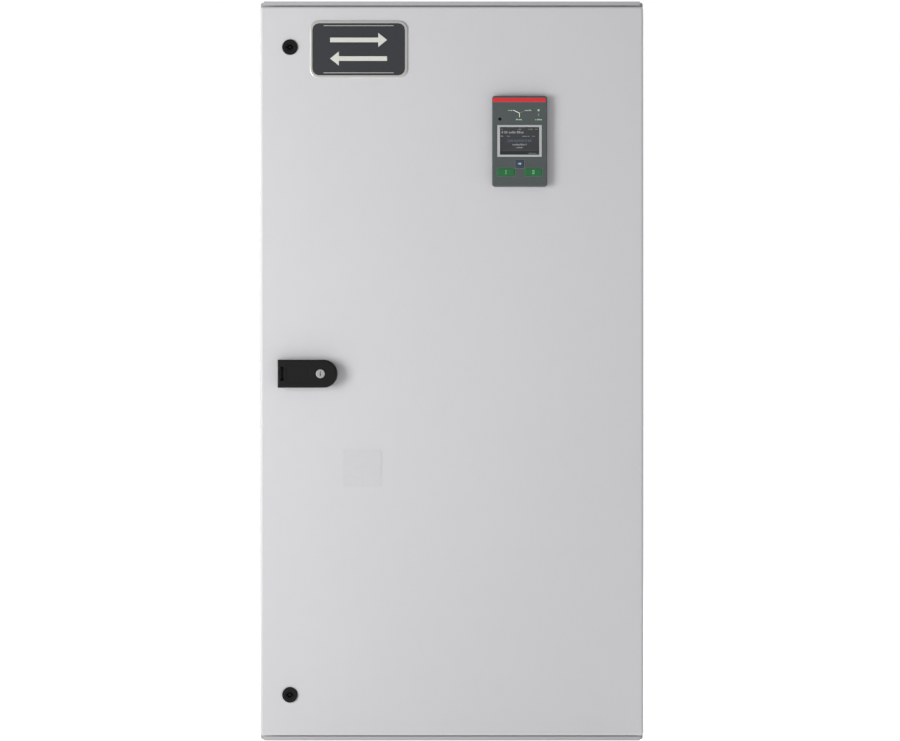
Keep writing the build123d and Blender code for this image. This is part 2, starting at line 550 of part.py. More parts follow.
with BuildPart() as pole_cases:
    for x in POLE_X:
        block((x - POLE_HALF, x + POLE_HALF), (POLE_BACK, POLE_FRONT), (SWITCH_Z - POLE_TALL, SWITCH_Z + POLE_TALL))
    fillet(pole_cases.edges().filter_by(Axis.Z), radius=1.5)
    for x in POLE_X:
        inner = POLE_HALF - POLE_WALL
        block(
            (x - inner, x + inner),
            (POLE_BACK + POLE_WALL, POLE_FRONT),
            (SWITCH_Z - POLE_TALL + POLE_WALL, SWITCH_Z + POLE_TALL - POLE_WALL),
            Mode.SUBTRACT,
        )
        rod_wide((x - POLE_HALF, x + POLE_HALF), SHAFT_DEPTH, SWITCH_Z, 17, Mode.SUBTRACT)
        for low, high in ((POLE_TALL - 5, POLE_TALL + 1), (-POLE_TALL - 1, -POLE_TALL + 5)):
            upright(x, SOURCE_BAR_DEPTH, low, high, mode=Mode.SUBTRACT)
        upright(x, LOAD_BAR_DEPTH, -POLE_TALL - 1, -POLE_TALL + 5, mode=Mode.SUBTRACT)
pieces["pole_cases"] = pole_cases

with BuildPart() as pole_covers:
    cover_front = POLE_FRONT + 6
    for x in POLE_X:
        block((x - POLE_HALF, x + POLE_HALF), (POLE_FRONT, cover_front), (SWITCH_Z - POLE_TALL, SWITCH_Z + POLE_TALL))
    chamfer(pole_covers.faces().filter_by(Axis.Y).sort_by(Axis.Y)[: len(POLE_X)].edges(), length=1.5)
    for x in POLE_X:
        for side in (-1, 1):
            for step in range(7):
                z = SWITCH_Z + side * (66 + 10 * step)
                block((x - 20, x + 20), (POLE_FRONT, cover_front), (z - 1.6, z + 1.6), Mode.SUBTRACT)
        block((x - 22, x + 22), (cover_front - 1.5, cover_front), (SWITCH_Z - 34, SWITCH_Z + 34), Mode.SUBTRACT)
        for dx, dz in corners(24, POLE_TALL - 8):
            rod_deep(x + dx, SWITCH_Z + dz, 2.2, (POLE_FRONT, cover_front), Mode.SUBTRACT)
pieces["pole_covers"] = pole_covers

with BuildPart() as arc_chutes:
    for x in POLE_X:
        for side in (-1, 1):
            span = sorted((SWITCH_Z + side * 62, SWITCH_Z + side * 138))
            block((x - 19, x + 19), (SOURCE_BAR_DEPTH + 9, POLE_FRONT), span)
            for step in range(7):
                z = SWITCH_Z + side * (67 + 10 * step)
                block((x - 16, x + 16), (SOURCE_BAR_DEPTH + 8, POLE_FRONT), (z - 3, z + 3), Mode.SUBTRACT)
pieces["arc_chutes"] = arc_chutes

TERMINAL_OUT, LOAD_OUT = POLE_TALL + 25, POLE_TALL + 65


def source_terminals(side):
    """Four flat bars to a source, each with a contact pad square to the closing blade: side is 1 up or -1 down."""
    turn = math.radians(THROW)
    radial, across = BLADE_R - 7, BLADE_THICK / 2 + CONTACT_GAP + 3
    forward = radial * math.cos(turn) - across * math.sin(turn)
    up = radial * math.sin(turn) + across * math.cos(turn)
    with BuildPart() as made:
        for x in POLE_X:
            ends = sorted((side * up, side * (TERMINAL_OUT + 15)))
            upright(x, SOURCE_BAR_DEPTH, *ends)
            pad = Location((x, -SHAFT_DEPTH - forward, SWITCH_Z + side * up), (-side * THROW, 0, 0))
            with Locations(pad):
                Box(14, 10, 6)
            hole = (SOURCE_BAR_DEPTH, SOURCE_BAR_DEPTH + BAR_THICK)
            rod_deep(x, SWITCH_Z + side * TERMINAL_OUT, TERMINAL_HOLE_R, hole, Mode.SUBTRACT)
    return made


pieces["source_1_terminals"] = source_terminals(1)
pieces["source_2_terminals"] = source_terminals(-1)

with BuildPart() as load_terminals:
    for x in POLE_X:
        upright(x, LOAD_BAR_DEPTH, -LOAD_OUT - 15, 12)
        block((x - 8, x + 8), (LOAD_BAR_DEPTH + BAR_THICK, SHAFT_DEPTH - 15.5), (SWITCH_Z - 9, SWITCH_Z + 9))
        rod_deep(
            x,
            SWITCH_Z - LOAD_OUT,
            TERMINAL_HOLE_R,
            (LOAD_BAR_DEPTH, LOAD_BAR_DEPTH + BAR_THICK),
            Mode.SUBTRACT,
        )
pieces["load_terminals"] = load_terminals

with BuildPart() as phase_barriers:
    for left, right in zip(POLE_X, POLE_X[1:]):
        x = (left + right) / 2
        block((x - 1, x + 1), (40, 164), (SWITCH_Z + POLE_TALL - 14, SWITCH_Z + POLE_TALL + 50))
        block((x - 1, x + 1), (40, 164), (SWITCH_Z - POLE_TALL - 90, SWITCH_Z - POLE_TALL + 14))
pieces["phase_barriers"] = phase_barriers

# ---------------------------------------------------------------- transfer switch: shaft
def swung(length, start):
    """Where the middle of a bar lies when it points at source 1, from its length and its inner radius."""
    reach = start + length / 2
    up = math.radians(THROW)
    return Location((0, -SHAFT_DEPTH - reach * math.cos(up), SWITCH_Z + reach * math.sin(up)), (-THROW, 0, 0))


def arm(x, start, end, wide, thick, mode=Mode.ADD):
    """A bar out of the shaft towards source 1, from one radius to another."""
    with Locations(Location((x, 0, 0)) * swung(end - start, start)):
        Box(wide, end - start, thick, mode=mode)


def square_on_shaft(x, side, mode):
    """A square prism on the shaft's axis, lying square to the source 1 direction, between two x limits."""
    with Locations(Location(((x[0] + x[1]) / 2, -SHAFT_DEPTH, SWITCH_Z), (-THROW, 0, 0))):
        Box(x[1] - x[0], side, side, mode=mode)


def hub(x, radius):
    """A round hub with a square hole, on the shaft."""
    rod_wide(x, SHAFT_DEPTH, SWITCH_Z, radius)


with BuildPart() as main_shaft:
    square_on_shaft((-176, 178), SHAFT_SIDE, Mode.ADD)
    chamfer(main_shaft.edges().filter_by(Axis.X), length=3.5)
    rod_wide((-187, -176), SHAFT_DEPTH, SWITCH_Z, JOURNAL_R)
    rod_wide((178, 192), SHAFT_DEPTH, SWITCH_Z, JOURNAL_R)
pieces["main_shaft"] = main_shaft

with BuildPart() as contact_blades:
    for x in POLE_X:
        hub((x - 10, x + 10), 15)
        arm(x, 12, BLADE_R - BLADE_THICK / 2, 12, BLADE_THICK)
        with Locations(Location((x, 0, 0)) * swung(0, BLADE_R - BLADE_THICK / 2) * Location((0, 0, 0), (0, 90, 0))):
            Cylinder(BLADE_THICK / 2, 12)
    for x in POLE_X:
        square_on_shaft((x - 11, x + 11), SHAFT_SIDE + 0.1, Mode.SUBTRACT)
pieces["contact_blades"] = contact_blades

with BuildPart() as manual_lever:
    hub((LEVER_X - 8, LEVER_X + 8), 17)
    arm(LEVER_X, 14, 165, 9, 12)
    square_on_shaft((LEVER_X - 9, LEVER_X + 9), SHAFT_SIDE + 0.1, Mode.SUBTRACT)
pieces["manual_lever"] = manual_lever

with BuildPart() as manual_grip:
    arm(LEVER_X, 127, 179, 19, 22)
    fillet(manual_grip.edges(), radius=6)
    arm(LEVER_X, 126, 165.1, 9.1, 12.1, Mode.SUBTRACT)
pieces["manual_grip"] = manual_grip

with BuildPart() as position_indicator:
    hub((FLAG_X - 6, FLAG_X + 6), 16)
    arm(FLAG_X, 13, 69, 6, 6)
    with BuildSketch(side_plane(FLAG_X - 6)):
        with Locations((-SHAFT_DEPTH, SWITCH_Z)):
            Circle(71)
            Circle(68, mode=Mode.SUBTRACT)
        with BuildLine():
            reach = 90
            wedge = [180 - THROW - 55, 180 - THROW, 180 - THROW + 55]
            Polyline(
                (-SHAFT_DEPTH, SWITCH_Z),
                *[
                    (
                        -SHAFT_DEPTH + 2 * reach * math.cos(math.radians(a)),
                        SWITCH_Z + 2 * reach * math.sin(math.radians(a)),
                    )
                    for a in wedge
                ],
                close=True,
            )
        make_face(mode=Mode.INTERSECT)
    extrude(amount=12)
    square_on_shaft((FLAG_X - 7, FLAG_X + 7), SHAFT_SIDE + 0.1, Mode.SUBTRACT)
pieces["position_indicator"] = position_indicator


# ---------------------------------------------------------------- transfer switch: gears
def tooth(teeth, backlash):
    """One involute tooth about the +Y direction, on a gear centred on the origin, as an outline of points."""
    pitch = MODULE * teeth / 2
    base = pitch * math.cos(math.radians(20))
    root, tip = pitch - 1.25 * MODULE, pitch + 0.9 * MODULE

    def involute(radius):
        pressure = math.acos(min(1, base / radius))
        return math.tan(pressure) - pressure

    half = math.pi / (2 * teeth) - backlash / (2 * pitch) + involute(pitch)
    steps = 5
    start = max(root, base)
    flank = []
    for i in range(steps + 1):
        radius = start + (tip - start) * i / steps
        angle = half - involute(radius)
        flank.append((radius * math.sin(angle), radius * math.cos(angle)))
    inside = root - 1
    foot = (inside * math.sin(half), inside * math.cos(half))
    right = [foot] + flank
    return right + [(-x, y) for x, y in reversed(right)]


def toothed(centre, teeth, directions):
    """A gear's outline in the active side-plane sketch: a disc with a tooth towards each direction, in degrees."""
    root = MODULE * teeth / 2 - 1.25 * MODULE
    with Locations(centre):
        Circle(root)
    outline = tooth(teeth, 0.35)
    for direction in directions:
        with Locations(Location((*centre, 0), (0, 0, direction - 90))):
            Polygon(*outline, align=None)


PINION_CENTRE = (-SHAFT_DEPTH, SWITCH_Z + GEAR_CENTRES)
GEAR_PITCH, PINION_PITCH = 360 / GEAR_TEETH, 360 / PINION_TEETH
with BuildPart() as drive_gear:
    # the mesh is straight up, and the teeth cover the shaft's swing with a few to spare
    with BuildSketch(side_plane(GEAR_X - 5)):
        toothed((-SHAFT_DEPTH, SWITCH_Z), GEAR_TEETH, [90 - GEAR_PITCH * k for k in range(-3, 13)])
    extrude(amount=10)
    hub((GEAR_X - 8, GEAR_X + 8), 18)
    square_on_shaft((GEAR_X - 9, GEAR_X + 9), SHAFT_SIDE + 0.1, Mode.SUBTRACT)
pieces["drive_gear"] = drive_gear

with BuildPart() as motor_pinion:
    with BuildSketch(side_plane(GEAR_X - 6)):
        toothed(PINION_CENTRE, PINION_TEETH, [90 + PINION_PITCH * (k + 0.5) for k in range(PINION_TEETH)])
    extrude(amount=12)
    rod_wide((-125, GEAR_X - 6), SHAFT_DEPTH, PINION_CENTRE[1], 3)
pieces["motor_pinion"] = motor_pinion

with BuildPart() as drive_motor:
    rod_wide((-186, -125.5), SHAFT_DEPTH, PINION_CENTRE[1], 22)
    chamfer(drive_motor.edges().filter_by(GeomType.CIRCLE), length=1.5)
    block((-186, -183), (SHAFT_DEPTH - 28, SHAFT_DEPTH + 28), (PINION_CENTRE[1] - 10, PINION_CENTRE[1] + 10))
    rod_wide((-130, -125.5), SHAFT_DEPTH, PINION_CENTRE[1], 4, Mode.SUBTRACT)
pieces["drive_motor"] = drive_motor

with BuildPart() as shaft_bearings:
    for x, outer in (((-191, -184), 14), ((184, 190), 17)):
        rod_wide(x, SHAFT_DEPTH, SWITCH_Z, outer)
        rod_wide(x, SHAFT_DEPTH, SWITCH_Z, JOURNAL_R + 0.05, Mode.SUBTRACT)
pieces["shaft_bearings"] = shaft_bearings

with BuildPart() as mechanism_case:
    wall = 3.0
    tall = (SWITCH_Z - POLE_TALL, SWITCH_Z + POLE_TALL)
    block(MECH_X, (POLE_BACK, 170), tall)
    fillet(mechanism_case.edges().filter_by(Axis.Z), radius=2)
    block(
        (MECH_X[0] + wall, MECH_X[1] - wall),
        (POLE_BACK + wall, 170),
        (tall[0] + wall, tall[1] - wall),
        Mode.SUBTRACT,
    )
    rod_wide((MECH_X[0], MECH_X[0] + wall), SHAFT_DEPTH, SWITCH_Z, 14, Mode.SUBTRACT)
    rod_wide((MECH_X[1] - wall, MECH_X[1]), SHAFT_DEPTH, SWITCH_Z, 16, Mode.SUBTRACT)
pieces["mechanism_case"] = mechanism_case

with BuildPart() as mechanism_cover:
    block(MECH_X, (170, 175), tall)
    chamfer(mechanism_cover.faces().sort_by(Axis.Y)[0].edges(), length=1.5)
    block((LEVER_X - 8, LEVER_X + 8), (170, 175), (SWITCH_Z - 92, SWITCH_Z + 92), Mode.SUBTRACT)
    block((FLAG_X - 7, FLAG_X + 7), (170, 175), (SWITCH_Z - 9, SWITCH_Z + 9), Mode.SUBTRACT)
    for x in (MECH_X[0] + 8, MECH_X[1] - 8):
        for z in (tall[0] + 8, tall[1] - 8):
            rod_deep(x, z, 2.2, (170, 175), Mode.SUBTRACT)
pieces["mechanism_cover"] = mechanism_cover

# ---------------------------------------------------------------- control gear on the mounting plate
with BuildPart() as din_rail:
    block(RAIL_X, (PLATE_FACE, PLATE_FACE + 7.5), (RAIL_Z - 17.5, RAIL_Z + 17.5))
    block(RAIL_X, (PLATE_FACE + 1, PLATE_FACE + 7.5), (RAIL_Z - 12.5, RAIL_Z + 12.5), Mode.SUBTRACT)
    for z in ((RAIL_Z - 17.5, RAIL_Z - 13.5), (RAIL_Z + 13.5, RAIL_Z + 17.5)):
        block(RAIL_X, (PLATE_FACE, PLATE_FACE + 6.5), z, Mode.SUBTRACT)
pieces["din_rail"] = din_rail

RAIL_FRONT = PLATE_FACE + 7.5
BLOCK_COUNT, BLOCK_PITCH, BLOCK_START = 14, 6.4, -60.0
with BuildPart() as terminal_blocks:
    for k in range(BLOCK_COUNT):
        x = (BLOCK_START + k * BLOCK_PITCH, BLOCK_START + k * BLOCK_PITCH + 6.1)
        block(x, (RAIL_FRONT, RAIL_FRONT + 34), (RAIL_Z - 26, RAIL_Z + 26))
        block(x, (RAIL_FRONT + 22, RAIL_FRONT + 34), (RAIL_Z - 26, RAIL_Z - 14), Mode.SUBTRACT)
        block(x, (RAIL_FRONT + 22, RAIL_FRONT + 34), (RAIL_Z + 14, RAIL_Z + 26), Mode.SUBTRACT)
        for side in (-1, 1):
            rod_deep(sum(x) / 2, RAIL_Z + side * 9, 1.9, (RAIL_FRONT + 28, RAIL_FRONT + 34), Mode.SUBTRACT)
            rod_deep(sum(x) / 2, RAIL_Z + side * 20, 1.9, (RAIL_FRONT + 12, RAIL_FRONT + 22), Mode.SUBTRACT)
pieces["terminal_blocks"] = terminal_blocks

BREAKER_X, TOGGLE_Z, TOGGLE_DEPTH = (-200.0, -147.5), RAIL_Z, RAIL_FRONT + 52
with BuildPart() as control_breaker:
    block(BREAKER_X, (RAIL_FRONT, RAIL_FRONT + 44), (RAIL_Z - 42, RAIL_Z + 42))
    block(BREAKER_X, (RAIL_FRONT + 44, RAIL_FRONT + 60), (RAIL_Z - 22.5, RAIL_Z + 22.5))
    fillet(control_breaker.edges().filter_by(Axis.X), radius=1.5)
    for k in range(3):
        low = BREAKER_X[0] + 17.5 * k
        block((low + 4, low + 13.5), (RAIL_FRONT + 44, RAIL_FRONT + 60), (RAIL_Z - 10, RAIL_Z + 10), Mode.SUBTRACT)
        for side in (-1, 1):
            rod_deep(low + 8.75, RAIL_Z + side * 32, 3, (RAIL_FRONT + 34, RAIL_FRONT + 44), Mode.SUBTRACT)
    rod_wide((BREAKER_X[0] + 4, BREAKER_X[1] - 4), TOGGLE_DEPTH, TOGGLE_Z, 2.1, Mode.SUBTRACT)
pieces["control_breaker"] = control_breaker

with BuildPart() as breaker_toggle:
    for k in range(3):
        low = BREAKER_X[0] + 17.5 * k
        rod_wide((low + 4.4, low + 13.1), TOGGLE_DEPTH, TOGGLE_Z, 6.5)
        block((low + 5, low + 12.5), (TOGGLE_DEPTH, TOGGLE_DEPTH + 18), (TOGGLE_Z + 1, TOGGLE_Z + 6))
    rod_wide((BREAKER_X[0] + 4.4, BREAKER_X[1] - 4.4), TOGGLE_DEPTH, TOGGLE_Z, 2.0)
    block(
        (BREAKER_X[0] + 5, BREAKER_X[1] - 5),
        (TOGGLE_DEPTH + 13, TOGGLE_DEPTH + 18),
        (TOGGLE_Z + 1, TOGGLE_Z + 6),
    )
pieces["breaker_toggle"] = breaker_toggle

with BuildPart() as control_unit:
    block(UNIT_X, (PLATE_FACE, UNIT_DEPTH), UNIT_Z)
    fillet(control_unit.edges().filter_by(Axis.Y), radius=3)
    chamfer(control_unit.faces().sort_by(Axis.Y)[0].edges(), length=2)
    for z in (UNIT_Z[0] + 4, UNIT_Z[1] - 18):
        block((UNIT_X[0] + 14, UNIT_X[1] - 14), (UNIT_DEPTH - 16, UNIT_DEPTH), (z, z + 14), Mode.SUBTRACT)
        block((UNIT_X[0] + 18, UNIT_X[1] - 18), (UNIT_DEPTH - 16, UNIT_DEPTH - 3), (z + 1, z + 13))
        for k in range(16):
            x = UNIT_X[0] + 24 + 7.5 * k
            rod_deep(x, z + 7, 2.2, (UNIT_DEPTH - 7, UNIT_DEPTH - 3), Mode.SUBTRACT)
pieces["control_unit"] = control_unit

EARTH_X, EARTH_Z = (-275.0, -95.0), -520.0
with BuildPart() as ground_bar:
    block(EARTH_X, (46, 52), (EARTH_Z - 12, EARTH_Z + 12))
    for x in (EARTH_X[0] + 12, EARTH_X[1] - 12):
        rod_deep(x, EARTH_Z, 7, (PLATE_FACE, 46))
    for k in range(8):
        rod_deep(EARTH_X[0] + 30 + 17 * k, EARTH_Z, 3.1, (46, 52), Mode.SUBTRACT)
pieces["ground_bar"] = ground_bar

# ---------------------------------------------------------------- fasteners of the fixed frame
with BuildPart() as machine_screws:
    for side in (-1, 1):
        outer = side * (HEIGHT / 2 - SHEET / 2)
        head = side * (HEIGHT / 2 - SHEET - GLAND_SHEET)
        for x in (-GLAND_X - 10, 0, GLAND_X + 10):
            for depth in (GLAND_DEPTH[0] - 10, GLAND_DEPTH[1] + 10):
                rod_tall(x, depth, 2.45, sorted((outer, head)))
                rod_tall(x, depth, 4.5, sorted((head, head - side * 3.2)))
    for x in POLE_X:
        for dx, dz in corners(24, POLE_TALL - 8):
            rod_deep(x + dx, SWITCH_Z + dz, 2.1, (POLE_FRONT + 0.5, POLE_FRONT + 6))
            rod_deep(x + dx, SWITCH_Z + dz, 3.6, (POLE_FRONT + 6, POLE_FRONT + 8.2))
    for k in range(8):
        x = EARTH_X[0] + 30 + 17 * k
        rod_deep(x, EARTH_Z, 3.05, (42, 52))
        hexagon(x, EARTH_Z, 6, (52, 56.5))
    for x in (MECH_X[0] + 8, MECH_X[1] - 8):
        for z in (tall[0] + 8, tall[1] - 8):
            rod_deep(x, z, 2.1, (168, 175))
            rod_deep(x, z, 3.8, (175, 177.4))
pieces["machine_screws"] = machine_screws

# ---------------------------------------------------------------- panel cable
# From the operator panel's back, over the hinge in a slack loop, to the control unit: x, depth, z.
CABLE_ROUTE = [
    (123.5, 285, 343.4),
    (123.5, 285, 322),
    (132, 287, 298),
    (152, 289, 279),
    (190, 291, 267),
    (238, 290, 264),
    (280, 288, 255),
    (304, 276, 236),
    (313, 250, 212),
    (313, 215, 190),
    (308, 174, 174),
    (298, 132, 164),
    (280, 96, 160),
    (252, 70, 161),
    (222, 57, 170),
    (204, 53.5, 182),
    (204, 53.5, 199.9),
]


def tangent_radii(points):
    """For each inner corner of a route, 0.45 of its shorter run over the tangent of half the turn."""
    found = []
    for a, b, c in zip(points, points[1:], points[2:]):
        into, out = Vector(*b) - Vector(*a), Vector(*c) - Vector(*b)
        turn = math.radians(into.get_angle(out))
        found.append(0.45 * min(into.length, out.length) / math.tan(turn / 2))
    return found


route_points = [(x, -depth, z) for x, depth, z in CABLE_ROUTE]
route_radii = tangent_radii(route_points)
print("panel cable radii", [round(r, 1) for r in route_radii])
with BuildPart() as panel_cable:
    with BuildLine() as cable_line:
        FilletPolyline(*route_points, radius=route_radii)
    with BuildSketch(Plane(origin=cable_line.line @ 0, z_dir=cable_line.line % 0)):
        Circle(CABLE_R)
    sweep()
run = cable_line.wires()[0].length
print("panel cable length", round(run, 1), "filled", round(panel_cable.part.volume / (math.pi * CABLE_R**2 * run), 4))
pieces["panel_cable"] = panel_cable

# ---------------------------------------------------------------- write the pieces
os.makedirs("parts", exist_ok=True)
for name, piece in pieces.items():
    piece.part.label = name
    export_step(piece.part, f"parts/{name}.step")
print(len(pieces), "pieces written")
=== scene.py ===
"""Finishes, printed panels, badge, operator cable and studio for the automatic transfer switch cabinet.

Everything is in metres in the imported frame: +Z up, +X to the right seen from the front, the front facing -Y.
"""

import math
import random

import bmesh
import bpy
from mathutils import Matrix, Vector


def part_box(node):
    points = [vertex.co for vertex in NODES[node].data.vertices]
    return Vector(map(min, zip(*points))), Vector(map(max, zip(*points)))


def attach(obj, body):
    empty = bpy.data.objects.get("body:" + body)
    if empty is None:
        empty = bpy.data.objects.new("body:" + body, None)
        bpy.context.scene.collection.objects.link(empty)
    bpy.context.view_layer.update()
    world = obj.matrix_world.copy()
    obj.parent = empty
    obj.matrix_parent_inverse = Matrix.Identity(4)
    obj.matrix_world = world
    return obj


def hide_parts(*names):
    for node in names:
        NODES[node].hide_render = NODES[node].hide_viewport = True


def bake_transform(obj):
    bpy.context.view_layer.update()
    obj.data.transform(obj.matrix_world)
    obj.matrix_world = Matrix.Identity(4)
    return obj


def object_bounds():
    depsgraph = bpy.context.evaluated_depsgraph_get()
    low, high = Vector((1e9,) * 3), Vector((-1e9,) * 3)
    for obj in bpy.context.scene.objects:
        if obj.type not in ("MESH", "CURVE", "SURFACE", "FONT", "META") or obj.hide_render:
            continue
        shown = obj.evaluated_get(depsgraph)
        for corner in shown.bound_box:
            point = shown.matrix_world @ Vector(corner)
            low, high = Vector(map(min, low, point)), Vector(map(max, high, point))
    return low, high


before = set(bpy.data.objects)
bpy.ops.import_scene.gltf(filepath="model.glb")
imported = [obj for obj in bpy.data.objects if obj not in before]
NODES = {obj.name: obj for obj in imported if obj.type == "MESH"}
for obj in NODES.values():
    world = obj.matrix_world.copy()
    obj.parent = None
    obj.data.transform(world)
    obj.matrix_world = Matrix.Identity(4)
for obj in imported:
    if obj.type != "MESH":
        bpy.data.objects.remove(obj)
CAD_BOX = [[float(v) for v in corner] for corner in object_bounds()]
MM = 0.001
DOWN = (0, 0, -1)
FORWARD = (0, -1, 0)


def corners_of(node):
    """A node's lowest and highest corners and its middle."""
    low, high = (Vector(corner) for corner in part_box(node))
    return low, high, (low + high) / 2


# ---------------------------------------------------------------- camera
LENS = 120.0
SENSOR_WIDTH = 36.0
CAMERA_TO_DOOR = 5.476
CAMERA_X, CAMERA_Z = -3.3 * MM, 0.9 * MM

door_front = corners_of("door_panel")[0].y
camera = bpy.data.objects.new("camera", bpy.data.cameras.new("camera"))
camera.data.lens = LENS
camera.data.sensor_width = SENSOR_WIDTH
camera.data.clip_end = 60.0
camera.location = (CAMERA_X, door_front - CAMERA_TO_DOOR, CAMERA_Z)
camera.rotation_euler = (math.radians(90), 0, 0)
bpy.context.scene.collection.objects.link(camera)
bpy.context.scene.camera = camera
bpy.context.scene.view_settings.view_transform = "Standard"


# ---------------------------------------------------------------- shader writing
class Field:
    """A shader socket that arithmetic can be written on."""

    def __init__(self, finish, socket):
        self.finish = finish
        self.socket = socket

    def maths(self, operation, first, second):
        return self.finish.node("ShaderNodeMath", {"operation": operation}, {0: first, 1: second})

    def __add__(self, other):
        return self.maths("ADD", self, other)

    def __sub__(self, other):
        return self.maths("SUBTRACT", self, other)

    def __rsub__(self, other):
        return self.maths("SUBTRACT", other, self)

    def __mul__(self, other):
        return self.maths("MULTIPLY", self, other)

    __radd__ = __add__
    __rmul__ = __mul__

    def between(self, low, high):
        """0 at low, 1 at high, and held there outside."""
        inputs = {0: self, 1: low, 2: high, 3: 0.0, 4: 1.0}
        return self.finish.node("ShaderNodeMapRange", {"clamp": True}, inputs)


ROUNDING_SAMPLES = 4


class Finish:
    """A material on the Principled shader, with the patterns that its surface is described in."""

    def __init__(self, name, **constants):
        self.material = bpy.data.materials.new(name)
        self.material.use_nodes = True
        self.tree = self.material.node_tree
        self.shader = self.tree.nodes["Principled BSDF"]
        for socket, value in constants.items():
            self.shader.inputs[socket.replace("_", " ")].default_value = value
        self.place = self.node("ShaderNodeTexCoord", output="Object")

    def node(self, kind, settings=None, inputs=None, output=0):
        """Adds a node, sets it, feeds its sockets and returns one of its outputs."""
        made = self.tree.nodes.new(kind)
        for setting, value in (settings or {}).items():
            setattr(made, setting, value)
        for socket, value in (inputs or {}).items():
            self.feed(made.inputs[socket], value)
        return Field(self, made.outputs[output])

    def feed(self, socket, value):
        if isinstance(value, Field):
            self.tree.links.new(value.socket, socket)
        elif isinstance(value, tuple) and len(value) == 3 and socket.type == "RGBA":
            socket.default_value = (*value, 1.0)
        else:
            socket.default_value = value

    def surface(self, **values):
        """Feeds the shader's own sockets."""
        for socket, value in values.items():
            self.feed(self.shader.inputs[socket.replace("_", " ")], value)

    def stretched(self, stretch):
        return self.node("ShaderNodeVectorMath", {"operation": "MULTIPLY"}, {0: self.place, 1: stretch})

    def noise(self, scale, detail=2.0, stretch=None):
        place = self.stretched(stretch) if stretch else self.place
        return self.node("ShaderNodeTexNoise", None, {"Vector": place, "Scale": scale, "Detail": detail})

    def cells(self, scale, feature="F1", output="Distance"):
        inputs = {"Vector": self.place, "Scale": scale}
        return self.node("ShaderNodeTexVoronoi", {"feature": feature}, inputs, output)

    def mix(self, factor, a, b):
        """From colour a to colour b."""
        return self.node("ShaderNodeMix", {"data_type": "RGBA"}, {0: factor, 6: a, 7: b}, output=2)

    def shade(self, colour, factor):
        """A colour made lighter or darker."""
        return self.node("ShaderNodeVectorMath", {"operation": "SCALE"}, {0: colour, "Scale": factor})

    def rounded(self, radius):
        return self.node("ShaderNodeBevel", {"samples": ROUNDING_SAMPLES}, {"Radius": radius})

    def edges(self, radius):
        """1 along sharp edges, fading to 0 at about the radius."""
        flat = self.node("ShaderNodeNewGeometry", output="Normal")
        turned = {0: self.rounded(radius), 1: flat}
        likeness = self.node("ShaderNodeVectorMath", {"operation": "DOT_PRODUCT"}, turned, output="Value")
        return (1 - likeness).between(0.01, 0.28)

    def relief(self, height, distance, radius=0.0):
        """Raises the surface by a pattern, with its sharp edges rounded to a radius."""
        inputs = {"Height": height, "Distance": distance, "Strength": 1.0}
        if radius:
            inputs["Normal"] = self.rounded(radius)
        self.surface(Normal=self.node("ShaderNodeBump", None, inputs))


def shown(red, green, blue):
    """A colour from its 0 to 255 display values."""
    shares = [value / 255 for value in (red, green, blue)]
    return tuple(share / 12.92 if share < 0.04045 else ((share + 0.055) / 1.055) ** 2.4 for share in shares)


# ---------------------------------------------------------------- finishes
BARE_METAL = (0.5, 0.5, 0.5)


def powder_coat(name, colour, roughness, grain, depth, wear, worn=BARE_METAL, gloss=0.35):
    """Sprayed and baked paint: a fine orange peel, faint clouding, dulled and rubbed edges."""
    coat = Finish(name, Specular_IOR_Level=gloss)
    cloud = coat.noise(2.1, 3.0)
    fine = coat.noise(grain, 2.0)
    peel = coat.noise(grain * 0.3, 1.0)
    rub = coat.edges(1.2 * MM) * coat.noise(70.0, 4.0).between(0.42, 0.66)
    dust = coat.noise(26.0, 5.0).between(0.5, 0.8)
    tone = 0.955 + cloud * 0.05 + fine * 0.035 - dust * 0.012
    coat.surface(
        Base_Color=coat.mix(rub * wear, coat.shade(colour, tone), worn),
        Roughness=roughness - 0.06 + cloud * 0.05 + fine * 0.06 + dust * 0.04,
    )
    coat.relief(peel * 0.7 + fine * 0.3, depth, 0.5 * MM)
    return coat.material


def moulded(name, colour, roughness, grain, depth=0.03 * MM):
    """Injection-moulded plastic: spark-eroded texture, flow clouding and polished edges."""
    polished = tuple(min(1.0, c * 1.7 + 0.02) for c in colour)
    shell = Finish(name, Specular_IOR_Level=0.3)
    flow = shell.noise(14.0, 3.0, (1.0, 1.0, 0.4))
    pits = shell.cells(grain)
    fine = shell.noise(grain * 0.6, 2.0)
    polish = shell.edges(0.7 * MM) * shell.noise(160.0, 3.0).between(0.35, 0.7)
    tone = 0.94 + flow * 0.07 + fine * 0.05
    shell.surface(
        Base_Color=shell.mix(polish * 0.3, shell.shade(colour, tone), polished),
        Roughness=roughness - 0.05 + fine * 0.1 - polish * 0.1,
    )
    shell.relief(pits * 0.5 + fine * 0.5, depth, 0.35 * MM)
    return shell.material


def rolled_metal(name, colour, roughness=0.32, along=(8.0, 8.0, 1.0), scale=220.0, tarnish=None, wear=0.3):
    """Bare or plated metal: rolling lines, blotchy tarnish and bright edges."""
    tarnish = tarnish or tuple(c * 0.62 for c in colour)
    metal = Finish(name, Metallic=1.0)
    lines = metal.noise(scale, 3.0, along)
    blotch = metal.noise(11.0, 5.0)
    spots = metal.cells(95.0).between(0.0, 0.35)
    bright = metal.edges(0.8 * MM)
    body = metal.mix(blotch.between(0.45, 0.75) * 0.45, metal.shade(colour, 0.9 + lines * 0.16), tarnish)
    metal.surface(
        Base_Color=metal.mix(bright * wear, body, tuple(min(1.0, c * 1.25) for c in colour)),
        Roughness=roughness - 0.1 + lines * 0.16 + blotch * 0.12 - spots * 0.02,
    )
    metal.relief(lines, 0.02 * MM, 0.4 * MM)
    return metal.material


